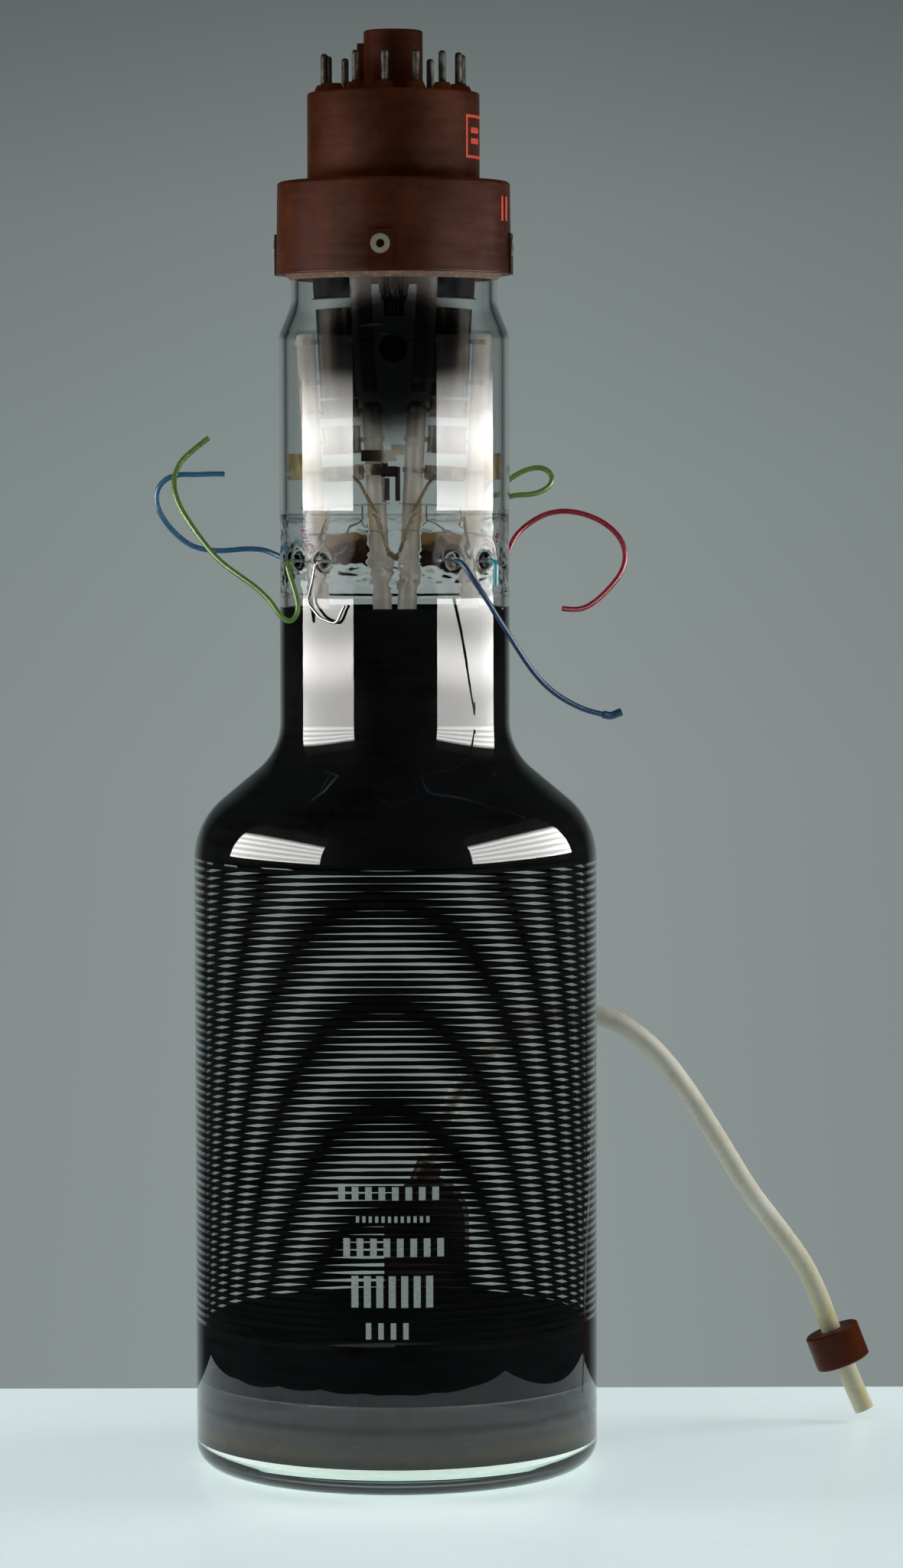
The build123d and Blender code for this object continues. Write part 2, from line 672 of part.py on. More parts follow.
# Cross plates and bracket that tie the two guns together, in front of the lower inner rods.
with BuildPart() as cross_plates:
    with Locations((-4.9, -4.4, 327.0)):
        Box(11.4, 0.4, 3.6)
    with Locations((1.2, -1.2, 328.9)):
        Box(4.2, 0.4, 3.4)
    with Locations((-8.2, -5.6, 324.1)):
        Box(9.0, 2.4, 0.4)
    with Locations((-6.8, -4.6, 322.3)):
        Box(5.0, 0.4, 3.2)
    with Locations((-1.7, -4.4, 321.9)):
        Box(5.2, 0.4, 3.4)
    with Locations((-3.0, -4.4, 324.5)):
        Box(2.0, 0.4, 2.0)
    with Locations((1.0, -2.8, 327.6)):
        Box(0.4, 3.6, 1.0)
cross_plates.part.label = "cross_plates"
export_step(cross_plates.part, "parts/cross_plates.step")

# Snubber springs: curved leaves that press on the neck wall, each on an arm from a rod clamp.
LEAF_R = 34.5
LEAF_Z = (319.2, 327.6)
LEAF_HALF_SPAN = 35.0
ARM_Z = APERTURE_CUP_Z[0] + 2.2
with BuildPart() as snubber_springs:
    for side in (-1, 1):
        with BuildSketch(Plane.XY.offset(LEAF_Z[0])):
            with BuildLine():
                start_angle = (0 if side > 0 else 180) - LEAF_HALF_SPAN
                outer = CenterArc((0, 0), LEAF_R, start_angle, 2 * LEAF_HALF_SPAN)
                inner = CenterArc((0, 0), LEAF_R - SHEET, start_angle, 2 * LEAF_HALF_SPAN)
                Line(outer @ 0, inner @ 0)
                Line(outer @ 1, inner @ 1)
            make_face()
        extrude(amount=LEAF_Z[1] - LEAF_Z[0])
        ring_edge = gun_axis_x(side, ARM_Z) + side * (OUTER_ROD_OFFSET + ROD_R + RING_WALL + 0.1)
        arm_middle = (ring_edge + side * (LEAF_R - SHEET / 2)) / 2
        with Locations((arm_middle, 0, ARM_Z + 1.5)):
            Box(abs(side * (LEAF_R - SHEET / 2) - ring_edge), 0.5, 3.0)
snubber_springs.part.label = "snubber_springs"
export_step(snubber_springs.part, "parts/snubber_springs.step")

# Two small wound resistors on the centre line.
with BuildPart() as centre_coils:
    for x, y, low, high in ((-2.3, -2.6, 312.6, 319.8), (1.1, -1.6, 312.4, 323.4)):
        with BuildSketch(Plane(origin=(x, y, low))):
            Circle(0.8)
        extrude(amount=high - low)
centre_coils.part.label = "centre_coils"
export_step(centre_coils.part, "parts/centre_coils.step")

# Getter: a small open channel cup that faces the flash, on a wire to the upper inner rods' strap.
with BuildPart() as getter:
    with BuildSketch(Plane(origin=(0, -17.0, FLASH_Z), x_dir=(1, 0, 0), z_dir=(0, -1, 0))):
        Circle(4.5)
    extrude(amount=2.0)
    with BuildSketch(Plane(origin=(0, -17.6, FLASH_Z), x_dir=(1, 0, 0), z_dir=(0, -1, 0))):
        Circle(4.1)
        Circle(1.6, mode=Mode.SUBTRACT)
    extrude(amount=2.0, mode=Mode.SUBTRACT)
    with BuildLine() as getter_wire:
        FilletPolyline((0, -17.1, FLASH_Z), (0, -12, FLASH_Z), (5.75, -8.3, 363.8), radius=2)
    with BuildSketch(Plane(origin=getter_wire.wires()[0] @ 0, z_dir=getter_wire.wires()[0] % 0)):
        Circle(0.4)
    sweep(path=getter_wire.wires()[0])
getter.part.label = "getter"
export_step(getter.part, "parts/getter.step")

# Stem leads: from each contact pin, through the press, to an electrode.
with BuildPart() as stem_leads:
    for index, position in enumerate(PINS):
        spot_x, spot_y, _ = stem_lead_spot(index)
        with BuildLine() as wire_path:
            FilletPolyline(
                (spot_x, spot_y, PRESS_Z - 4),
                (spot_x, spot_y, 384.0),
                (spot_x * 1.15, spot_y * 1.15, 398.0),
                polar(12.0, pin_azimuth(position), 412.0),
                polar(PIN_CIRCLE_R, pin_azimuth(position), 426.0),
                polar(PIN_CIRCLE_R, pin_azimuth(position), 436.0),
                radius=2.0,
            )
        wire = wire_path.wires()[0]
        with BuildSketch(Plane(origin=wire @ 0, z_dir=wire % 0)):
            Circle(STEM_LEAD_R)
        sweep(path=wire)
stem_leads.part.label = "stem_leads"
export_step(stem_leads.part, "parts/stem_leads.step")

# Plate leads: from each seal in the ring to a deflection plate.
PLATE_SPOTS = (
    (gun_axis_x(-1, 307.5) - 6.2, -5.0, 307.5),
    (gun_axis_x(-1, 297), -4.7, 298.0),
    (gun_axis_x(1, 297), -4.7, 298.0),
    (gun_axis_x(1, 307.5) + 6.2, -5.0, 307.5),
    (gun_axis_x(1, 307.5) - 5.45, 6.0, 307.5),
    (gun_axis_x(1, 297), 4.7, 298.0),
    (gun_axis_x(-1, 297), 4.7, 298.0),
    (gun_axis_x(-1, 307.5) + 5.45, 6.0, 307.5),
)
with BuildPart() as plate_leads:
    for azimuth, plate_spot in zip(SEAL_AZIMUTHS, PLATE_SPOTS):
        with BuildLine() as wire_path:
            FilletPolyline(
                polar(NECK_R + BEAD_TALL - 0.02, azimuth, SEAL_Z),
                polar(31.0, azimuth, SEAL_Z),
                plate_spot,
                radius=3.0,
            )
        wire = wire_path.wires()[0]
        with BuildSketch(Plane(origin=wire @ 0, z_dir=wire % 0)):
            Circle(SEAL_WIRE_R)
        sweep(path=wire)
plate_leads.part.label = "plate_leads"
export_step(plate_leads.part, "parts/plate_leads.step")

# Gun wires: from each aperture cup, in front of the inner rod, to a clip on the centre line.
with BuildPart() as gun_wires:
    for side in (-1, 1):
        with BuildLine() as wire_path:
            FilletPolyline(
                (side * 13.6, -6.6, 320.5),
                (side * 11.0, -7.4, 318.0),
                (side * 5.8, -7.4, 308.6),
                (side * 2.4, -7.4, 297.4),
                (side * 1.2, -7.2, 295.0),
                radius=(2.0, 6.0, 3.0),
            )
        wire = wire_path.wires()[0]
        with BuildSketch(Plane(origin=wire @ 0, z_dir=wire % 0)):
            Circle(0.55)
        sweep(path=wire)
    with Locations((0, -7.2, 294.0)):
        Box(2.6, 1.8, 4.0)
gun_wires.part.label = "gun_wires"
export_step(gun_wires.part, "parts/gun_wires.step")

# ---------------------------------------------------------------- base
# Shell: keyed locating lug, wafer with a boss at each position, tube, flange and inner skirt.
with BuildPart() as base_shell:
    with BuildSketch(Plane.XZ):
        with BuildLine():
            FilletPolyline(
                (0, LUG_TOP_Z),
                (LUG_R, LUG_TOP_Z),
                (LUG_R, SHELL_TOP_Z),
                (SHELL_R, SHELL_TOP_Z),
                (SHELL_R, COLLAR_TOP_Z - COLLAR_PLATE),
                (SKIRT_R, COLLAR_TOP_Z - COLLAR_PLATE),
                (SKIRT_R, SKIRT_LOW_Z),
                (SKIRT_BORE_R, SKIRT_LOW_Z),
                (SKIRT_BORE_R, COLLAR_TOP_Z - COLLAR_PLATE - SHELL_WALL),
                (SHELL_R - SHELL_WALL, COLLAR_TOP_Z - COLLAR_PLATE - SHELL_WALL),
                (SHELL_R - SHELL_WALL, SHELL_TOP_Z - WAFER),
                (LUG_BORE_R, SHELL_TOP_Z - WAFER),
                (LUG_BORE_R, LUG_TOP_Z - 5),
                (0, LUG_TOP_Z - 5),
                radius=(0, 0.8, 0.5, 0.8, 0, 0, 0, 0, 0, 0, 1, 1, 1, 0),
                close=True,
            )
        make_face()
    revolve(axis=Axis.Z)
    with BuildSketch(Plane.XY.offset(SHELL_TOP_Z - 0.5)):
        with Locations(Location(polar((LUG_R + KEY_REACH) / 2 - 1, KEY_AZIMUTH), (0, 0, KEY_AZIMUTH))):
            Rectangle(KEY_WIDTH, KEY_REACH - LUG_R + 2)
    extrude(amount=KEY_TOP_Z - SHELL_TOP_Z + 0.5)
    for position in range(1, POSITIONS + 1):
        with Locations(polar(PIN_CIRCLE_R, pin_azimuth(position), SHELL_TOP_Z - 0.1)):
            Cone(BOSS_R[0], BOSS_R[1], BOSS_TALL + 0.1, align=(Align.CENTER, Align.CENTER, Align.MIN))
    for position in PINS:
        with Locations(polar(PIN_CIRCLE_R, pin_azimuth(position), SHELL_TOP_Z - WAFER - 1)):
            Cylinder(
                PIN_ROOT_R,
                WAFER + BOSS_TALL + 2,
                align=(Align.CENTER, Align.CENTER, Align.MIN),
                mode=Mode.SUBTRACT,
            )
    for turn in range(EYELET_COUNT):
        azimuth = EYELET_AZIMUTH + turn * 360 / EYELET_COUNT
        with BuildSketch(outward(SKIRT_BORE_R - 1, azimuth, EYELET_Z)):
            Circle(EYELET_R[0])
        extrude(amount=SKIRT_R - SKIRT_BORE_R + 2, mode=Mode.SUBTRACT)
base_shell.part.label = "base_shell"
export_step(base_shell.part, "parts/base_shell.step")

# Collar: fits over the shell's flange and skirt, with a flat pad at each eyelet.
with BuildPart() as base_collar:
    with BuildSketch(Plane.XZ):
        with BuildLine():
            FilletPolyline(
                (SHELL_R, COLLAR_TOP_Z),
                (COLLAR_TOP_R, COLLAR_TOP_Z),
                (COLLAR_LOW_R, COLLAR_LOW_Z),
                (SKIRT_R, COLLAR_LOW_Z),
                (SKIRT_R, COLLAR_TOP_Z - COLLAR_PLATE),
                (SHELL_R, COLLAR_TOP_Z - COLLAR_PLATE),
                radius=(0.4, 1.2, 0.4, 0.3, 0, 0),
                close=True,
            )
        make_face()
    revolve(axis=Axis.Z)
    for turn in range(EYELET_COUNT):
        azimuth = EYELET_AZIMUTH + turn * 360 / EYELET_COUNT
        pad_middle = (PAD_TOP_Z + COLLAR_LOW_Z) / 2
        with BuildSketch(outward(SKIRT_R + 0.5, azimuth, pad_middle)):
            RectangleRounded(PAD_WIDTH, PAD_TOP_Z - COLLAR_LOW_Z, radius=0.4)
        extrude(amount=PAD_REACH - SKIRT_R - 0.5)
        with BuildSketch(outward(SKIRT_R - 1, azimuth, EYELET_Z)):
            Circle(EYELET_R[0])
        extrude(amount=PAD_REACH - SKIRT_R + 2, mode=Mode.SUBTRACT)
base_collar.part.label = "base_collar"
export_step(base_collar.part, "parts/base_collar.step")

# Contact pins: tubes with rounded tips, moulded into the wafer.
PIN_FOOT_Z = SHELL_TOP_Z + BOSS_TALL + 0.1
with BuildPart() as base_pins:
    for position in PINS:
        with Locations(polar(PIN_CIRCLE_R, pin_azimuth(position), PIN_FOOT_Z)):
            Cylinder(PIN_R, PIN_TIP_Z - PIN_FOOT_Z, align=(Align.CENTER, Align.CENTER, Align.MIN))
    fillet(base_pins.edges().group_by(Axis.Z)[-1], PIN_R - 0.15)
    for position in PINS:
        with Locations(polar(PIN_CIRCLE_R, pin_azimuth(position), SHELL_TOP_Z - WAFER - 2)):
            Cylinder(
                PIN_ROOT_R,
                PIN_FOOT_Z - SHELL_TOP_Z + WAFER + 2,
                align=(Align.CENTER, Align.CENTER, Align.MIN),
            )
    for position in PINS:
        with Locations(polar(PIN_CIRCLE_R, pin_azimuth(position), SHELL_TOP_Z - WAFER - 3)):
            Cylinder(
                STEM_LEAD_R + 0.15,
                12,
                align=(Align.CENTER, Align.CENTER, Align.MIN),
                mode=Mode.SUBTRACT,
            )
base_pins.part.label = "base_pins"
export_step(base_pins.part, "parts/base_pins.step")

# Eyelets: hollow rivets through the collar and the shell's skirt.
EYELET_SHEET = 0.4
EYELET_FOOT = SKIRT_BORE_R - EYELET_SHEET - 0.13
with BuildPart() as eyelets:
    for turn in range(EYELET_COUNT):
        azimuth = EYELET_AZIMUTH + turn * 360 / EYELET_COUNT
        with BuildSketch(outward(EYELET_FOOT, azimuth, EYELET_Z)):
            Circle(EYELET_R[0])
            Circle(EYELET_R[1], mode=Mode.SUBTRACT)
        extrude(amount=PAD_REACH + EYELET_SHEET - EYELET_FOOT)
        with BuildSketch(outward(EYELET_FOOT, azimuth, EYELET_Z)):
            Circle(EYELET_FLANGE_R - 0.4)
            Circle(EYELET_R[1], mode=Mode.SUBTRACT)
        extrude(amount=EYELET_SHEET)
        with BuildSketch(outward(PAD_REACH, azimuth, EYELET_Z)):
            Circle(EYELET_FLANGE_R)
            Circle(EYELET_R[1], mode=Mode.SUBTRACT)
        extrude(amount=EYELET_SHEET)
eyelets.part.label = "eyelets"
export_step(eyelets.part, "parts/eyelets.step")

# Basing cement: between the throat and the skirt, with a bead showing under the collar.
CEMENT_R = EYELET_FOOT - 0.03
basing_cement = turned(
    (
        (THROAT_R, 383.2),
        (SKIRT_R, COLLAR_LOW_Z + 0.3),
        (SKIRT_R, SKIRT_LOW_Z),
        (SKIRT_BORE_R, SKIRT_LOW_Z),
        (SKIRT_BORE_R, EYELET_Z - 3.2),
        (CEMENT_R, EYELET_Z - 3.2),
        (CEMENT_R, EYELET_Z + 3.2),
        (SKIRT_BORE_R, EYELET_Z + 3.2),
        (SKIRT_BORE_R, 405.0),
        (THROAT_R, 405.0),
    ),
    0,
)
basing_cement.part.label = "basing_cement"
export_step(basing_cement.part, "parts/basing_cement.step")

# ---------------------------------------------------------------- leads
# Deflection leads, each from a seal bead. The point list of each is its real route.
GREEN_LEFT_ROUTE = (
    (-32.291, -21.781, 293.5),
    (-34.1, -23.0, 292.8),
    (-33.2, -23.9, 289.2),
    (-31.6, -25.2, 284.4),
    (-30.4, -26.3, 280.0),
    (-30.6, -26.9, 276.8),
    (-32.2, -27.2, 274.6),
    (-34.4, -27.3, 274.6),
    (-36.6, -27.0, 276.8),
    (-39.2, -26.0, 280.8),
    (-43.6, -24.4, 285.0),
    (-49.4, -22.4, 289.0),
    (-55.4, -20.0, 293.2),
    (-60.6, -17.4, 299.0),
    (-65.2, -15.0, 305.4),
    (-69.2, -12.2, 311.6),
    (-71.0, -9.6, 318.4),
    (-69.2, -7.2, 324.6),
    (-64.6, -5.6, 329.0),
    (-59.6, -4.6, 332.8),
)
LIGHT_BLUE_ROUTE = (
    (-33.532, 19.36, 293.5),
    (-35.94, 20.75, 293.5),
    (-39.3, 22.9, 295.0),
    (-43.2, 23.8, 296.6),
    (-49.0, 22.6, 296.9),
    (-55.4, 20.8, 296.2),
    (-61.2, 18.8, 296.4),
    (-66.4, 17.0, 297.8),
    (-70.6, 15.4, 301.0),
    (-74.4, 13.8, 305.2),
    (-77.2, 12.6, 310.2),
    (-77.6, 11.9, 315.4),
    (-75.0, 11.6, 319.4),
    (-70.4, 11.9, 321.2),
    (-64.8, 12.6, 321.0),
    (-59.6, 13.4, 321.3),
    (-55.4, 14.0, 321.2),
)
GREEN_RIGHT_ROUTE = (
    (19.36, 33.532, 293.5),
    (21.15, 36.633, 293.5),
    (23.2, 37.8, 297.8),
    (26.2, 38.0, 303.0),
    (29.6, 37.3, 308.2),
    (34.0, 36.4, 312.6),
    (39.4, 36.0, 314.2),
    (44.8, 36.2, 314.2),
    (49.4, 36.8, 315.8),
    (51.8, 37.6, 318.6),
    (51.0, 38.3, 321.6),
    (48.2, 38.9, 323.2),
    (44.4, 39.2, 322.9),
    (40.2, 39.2, 321.2),
    (35.8, 38.8, 318.0),
    (32.2, 38.2, 315.4),
)
RED_ROUTE = (
    (33.532, 19.36, 293.5),
    (36.027, 20.8, 293.5),
    (37.4, 22.6, 297.2),
    (39.4, 24.6, 301.0),
    (43.2, 26.0, 304.6),
    (48.6, 26.0, 307.8),
    (54.0, 25.2, 309.0),
    (59.2, 24.0, 308.6),
    (64.0, 22.8, 307.2),
    (68.4, 21.7, 305.0),
    (72.2, 20.7, 301.8),
    (74.8, 19.8, 297.6),
    (75.2, 18.9, 292.8),
    (73.6, 18.0, 288.4),
    (70.4, 17.0, 284.4),
    (66.4, 16.0, 280.4),
    (62.0, 14.8, 277.4),
    (57.8, 13.8, 276.8),
    (54.4, 13.0, 277.3),
)
DARK_BLUE_ROUTE = (
    (19.942, -33.19, 293.5),
    (21.683, -36.087, 293.5),
    (24.8, -37.4, 288.2),
    (28.9, -37.6, 282.4),
    (32.6, -36.6, 276.2),
    (36.4, -35.6, 270.4),
    (39.7, -34.6, 265.0),
    (43.5, -33.5, 259.3),
    (47.8, -32.5, 254.2),
    (52.7, -31.5, 250.3),
    (57.9, -30.5, 247.4),
    (62.4, -29.8, 245.6),
    (66.4, -29.2, 244.7),
)
LEADS = (
    ("green_left_lead", GREEN_LEFT_ROUTE),
    ("light_blue_lead", LIGHT_BLUE_ROUTE),
    ("green_right_lead", GREEN_RIGHT_ROUTE),
    ("red_lead", RED_ROUTE),
    ("dark_blue_lead", DARK_BLUE_ROUTE),
)
for name, route in LEADS:
    cord = lead(route, LEAD_DIA, name)
    cord.part.label = name
    export_step(cord.part, f"parts/{name}.step")

# Shrink cap over the end of the dark blue lead.
CAP_START = Vector(*DARK_BLUE_ROUTE[-1])
CAP_RUN = (CAP_START - Vector(*DARK_BLUE_ROUTE[-2])).normalized() * 2.6
CAP_LINE = (CAP_START, CAP_START + CAP_RUN, CAP_START + CAP_RUN + Vector(3.4, 0.2, 1.4))
with BuildPart() as dark_blue_lead_cap:
    with BuildLine() as cap_path:
        FilletPolyline(*CAP_LINE, radius=3)
    wire = cap_path.wires()[0]
    with BuildSketch(Plane(origin=wire @ 0, z_dir=wire % 0)):
        Circle(1.25)
    sweep(path=wire)
dark_blue_lead_cap.part.label = "dark_blue_lead_cap"
export_step(dark_blue_lead_cap.part, "parts/dark_blue_lead_cap.step")

# Bare wire from the second front seal, bent back up in a hook.
with BuildPart() as bare_wire:
    with BuildLine() as hook:
        FilletPolyline(
            polar(NECK_R + BEAD_TALL, -38, SEAL_Z),
            polar(NECK_R + BEAD_TALL + 1.3, -38, SEAL_Z - 0.2),
            polar(NECK_R + 2.4, -41, 286.5),
            polar(NECK_R + 1.8, -45, 280.6),
            polar(NECK_R + 1.8, -37, 275.6),
            polar(NECK_R + 1.8, -28, 273.6),
            polar(NECK_R + 1.8, -23.5, 279.6),
            radius=(1.2, 3, 2.4, 6, 2),
        )
    wire = hook.wires()[0]
    with BuildSketch(Plane(origin=wire @ 0, z_dir=wire % 0)):
        Circle(BARE_DIA / 2)
    sweep(path=wire)
bare_wire.part.label = "bare_wire"
export_step(bare_wire.part, "parts/bare_wire.step")

# Stub of a lead cut off short, at the last front seal.
with BuildPart() as cut_lead_stub:
    with BuildLine() as stub:
        FilletPolyline(
            polar(NECK_R + BEAD_TALL, 52, SEAL_Z),
            polar(NECK_R + BEAD_TALL + 2.6, 52, SEAL_Z),
            polar(NECK_R + 3.4, 53, 285.5),
            radius=2.0,
        )
    wire = stub.wires()[0]
    with BuildSketch(Plane(origin=wire @ 0, z_dir=wire % 0)):
        Circle(LEAD_DIA / 2)
    sweep(path=wire)
cut_lead_stub.part.label = "cut_lead_stub"
export_step(cut_lead_stub.part, "parts/cut_lead_stub.step")

# ---------------------------------------------------------------- high-voltage lead
HV_ROUTE = (
    (11.0, 72.0, 89.0),
    (14.6, 72.3, 100.4),
    (20.8, 72.5, 112.6),
    (30.4, 72.5, 125.6),
    (44.2, 72.3, 135.6),
    (57.2, 72.0, 139.6),
    (68.6, 71.6, 138.8),
    (79.0, 71.0, 133.8),
    (88.4, 70.4, 125.4),
    (97.2, 70.1, 113.8),
    (107.8, 70.0, 97.0),
    (118.4, 70.3, 79.0),
    (128.6, 70.8, 66.0),
    (137.0, 71.3, 54.4),
    (142.2, 71.6, 43.4),
    (145.6, 71.8, 33.8),
    (149.3, 71.9, 24.2),
    (153.5, 72.0, 14.0),
    (157.9, 72.0, 4.0),
)
hv_lead = lead(HV_ROUTE, HV_DIA, "hv_lead")
hv_lead.part.label = "hv_lead"
export_step(hv_lead.part, "parts/hv_lead.step")

# Phenolic collar, stuck on the lead near its end.
COLLAR_POINTS = (Vector(*HV_ROUTE[15]), Vector(*HV_ROUTE[16]))
COLLAR_LINE = (COLLAR_POINTS[1] - COLLAR_POINTS[0]).normalized()
COLLAR_MIDDLE = COLLAR_POINTS[0] + COLLAR_LINE * 8.6
with BuildPart() as hv_lead_collar:
    with BuildSketch(Plane(COLLAR_MIDDLE - COLLAR_LINE * HV_COLLAR_LONG / 2, z_dir=COLLAR_LINE)):
        Circle(HV_COLLAR_R)
    extrude(amount=HV_COLLAR_LONG)
    chamfer(hv_lead_collar.edges().filter_by(GeomType.CIRCLE), 0.5)
    with BuildSketch(Plane(COLLAR_MIDDLE - COLLAR_LINE * HV_COLLAR_LONG / 2, z_dir=COLLAR_LINE)):
        Circle(HV_DIA / 2 + 0.15)
    extrude(amount=HV_COLLAR_LONG, mode=Mode.SUBTRACT)
hv_lead_collar.part.label = "hv_lead_collar"
export_step(hv_lead_collar.part, "parts/hv_lead_collar.step")

# Anode contact: a button outside the bulb, with a pin through the glass to the anode band.
CONTACT_R = 5.0
CONTACT_TALL = 1.6
with BuildPart() as anode_contact:
    with BuildSketch(outward(BODY_R + 0.2, HV_AZIMUTH, HV_CONTACT_Z)):
        Circle(CONTACT_R)
    extrude(amount=CONTACT_TALL)
    with BuildSketch(outward(BODY_BORE_R + 0.1, HV_AZIMUTH, HV_CONTACT_Z)):
        Circle(0.9)
    extrude(amount=BODY_WALL + 0.5)
anode_contact.part.label = "anode_contact"
export_step(anode_contact.part, "parts/anode_contact.step")

# Boot: moulded over the contact and the start of the lead, shaped to the bulb.
with BuildPart() as anode_boot:
    with BuildSketch(outward(BODY_R - 4, HV_AZIMUTH, (BOOT_Z[0] + BOOT_Z[1]) / 2)):
        SlotOverall(BOOT_Z[1] - BOOT_Z[0], BOOT_WIDTH, rotation=90)
    extrude(amount=BOOT_REACH - BODY_R + 4)
    fillet(anode_boot.faces().sort_by(Axis.Y)[-1].edges(), 4)
    exit_plane = Plane(Vector(*HV_ROUTE[0]), z_dir=Vector(*HV_ROUTE[1]) - Vector(*HV_ROUTE[0]))
    with BuildSketch(exit_plane):
        Circle(4.4)
    extrude(amount=-16, taper=-5)
    with BuildSketch(Plane.XY):
        Circle(BODY_R + 0.15)
    extrude(amount=120, mode=Mode.SUBTRACT)
    with BuildSketch(outward(BODY_R - 1, HV_AZIMUTH, HV_CONTACT_Z)):
        Circle(CONTACT_R + 0.3)
    extrude(amount=CONTACT_TALL + 2.6, mode=Mode.SUBTRACT)
anode_boot.part.label = "anode_boot"
export_step(anode_boot.part, "parts/anode_boot.step")
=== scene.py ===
import math

import bmesh
import bpy
from mathutils import Matrix, Vector, noise


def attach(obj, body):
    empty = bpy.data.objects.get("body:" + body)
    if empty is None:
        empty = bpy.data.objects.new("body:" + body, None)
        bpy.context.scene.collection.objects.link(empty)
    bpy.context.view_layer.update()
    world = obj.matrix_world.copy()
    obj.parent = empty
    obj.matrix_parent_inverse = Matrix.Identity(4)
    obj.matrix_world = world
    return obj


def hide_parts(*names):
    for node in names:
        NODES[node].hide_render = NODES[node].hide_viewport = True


# Looks of a two-gun cathode ray tube that stands on its face. Metres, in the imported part's frame:
# origin at the centre of the face, +Z up to the base, -Y to the front. Lengths in the tables
# below are in millimetres and are turned into metres where a mesh is made.
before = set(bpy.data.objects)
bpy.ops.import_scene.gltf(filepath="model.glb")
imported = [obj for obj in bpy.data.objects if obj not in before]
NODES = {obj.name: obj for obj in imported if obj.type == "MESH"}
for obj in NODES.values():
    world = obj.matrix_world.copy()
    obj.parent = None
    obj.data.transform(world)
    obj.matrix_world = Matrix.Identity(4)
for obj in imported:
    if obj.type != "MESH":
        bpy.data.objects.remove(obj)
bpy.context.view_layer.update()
MM = 0.001
SEG = 256

scene = bpy.context.scene
scene.view_settings.view_transform = "Standard"
scene.view_settings.look = "None"

# Main sizes, as in the CAD
BODY_R, BODY_WALL = 65.1, 3.0
NECK_R, NECK_WALL = 37.1, 2.3
THROAT_R = 33.2
RING_LOW, RING_TOP, SEAL_Z = 281.6, 309.5, 293.5
CONTACT = 0.03  # how far a coating reaches into the glass, so that the two are in optical contact
COAT_R = BODY_R - BODY_WALL + CONTACT
COAT_NECK_R = NECK_R - NECK_WALL + CONTACT
SCREEN_R = BODY_R - BODY_WALL - 0.04  # the screen's powder only rests on the glass
SEALS = (-56, -38, 31, 52, 120, 150, -150, -120)


# ------------------------------------------------------------------ mesh helpers
def polar(radius, azimuth, height=0.0):
    """Azimuth in degrees from the front, positive towards +X."""
    a = math.radians(azimuth)
    return Vector((radius * math.sin(a), -radius * math.cos(a), height))


def add_mesh(name, verts, faces, material, node=None, smooth=True, wound=False):
    """verts in millimetres. The piece rides on the root body and stands for the CAD node(s)."""
    mesh = bpy.data.meshes.new(name)
    mesh.from_pydata([Vector(v) * MM for v in verts], [], faces)
    mesh.materials.append(material)
    for polygon in mesh.polygons:
        polygon.use_smooth = smooth
    piece = bpy.data.objects.new(name, mesh)
    scene.collection.objects.link(piece)
    if not wound:
        bm = bmesh.new()
        bm.from_mesh(mesh)
        bmesh.ops.recalc_face_normals(bm, faces=bm.faces)
        bm.to_mesh(mesh)
        bm.free()
    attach(piece, "root")
    if node:
        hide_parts(*([node] if isinstance(node, str) else node))
    return piece


def rounded(corners):
    """Corners (r, z, radius) of a profile, with each corner's arc drawn in."""
    out = []
    n = len(corners)
    for i, (r, z, radius) in enumerate(corners):
        here = Vector((r, z))
        if radius <= 0:
            out.append(here)
            continue
        a = (Vector(corners[i - 1][:2]) - here).normalized()
        b = (Vector(corners[(i + 1) % n][:2]) - here).normalized()
        half = a.angle(b) / 2
        cut = radius / math.tan(half)
        centre = here + (a + b).normalized() * (radius / math.sin(half))
        start, end = here + a * cut, here + b * cut
        sweep = math.pi - 2 * half
        steps = max(4, int(abs(sweep) / math.radians(4)))
        v0 = start - centre
        sign = 1 if v0.x * (end - centre).y - v0.y * (end - centre).x > 0 else -1
        for k in range(steps + 1):
            t = sign * sweep * k / steps
            out.append(
                centre
                + Vector((v0.x * math.cos(t) - v0.y * math.sin(t), v0.x * math.sin(t) + v0.y * math.cos(t)))
            )
    return out


def divided(points, step):
    """The same closed profile with long runs divided, so that it can be made wavy."""
    out = []
    for i, p in enumerate(points):
        q = points[(i + 1) % len(points)]
        count = max(1, int((q - p).length / step))
        out += [p.lerp(q, k / count) for k in range(count)]
    return out


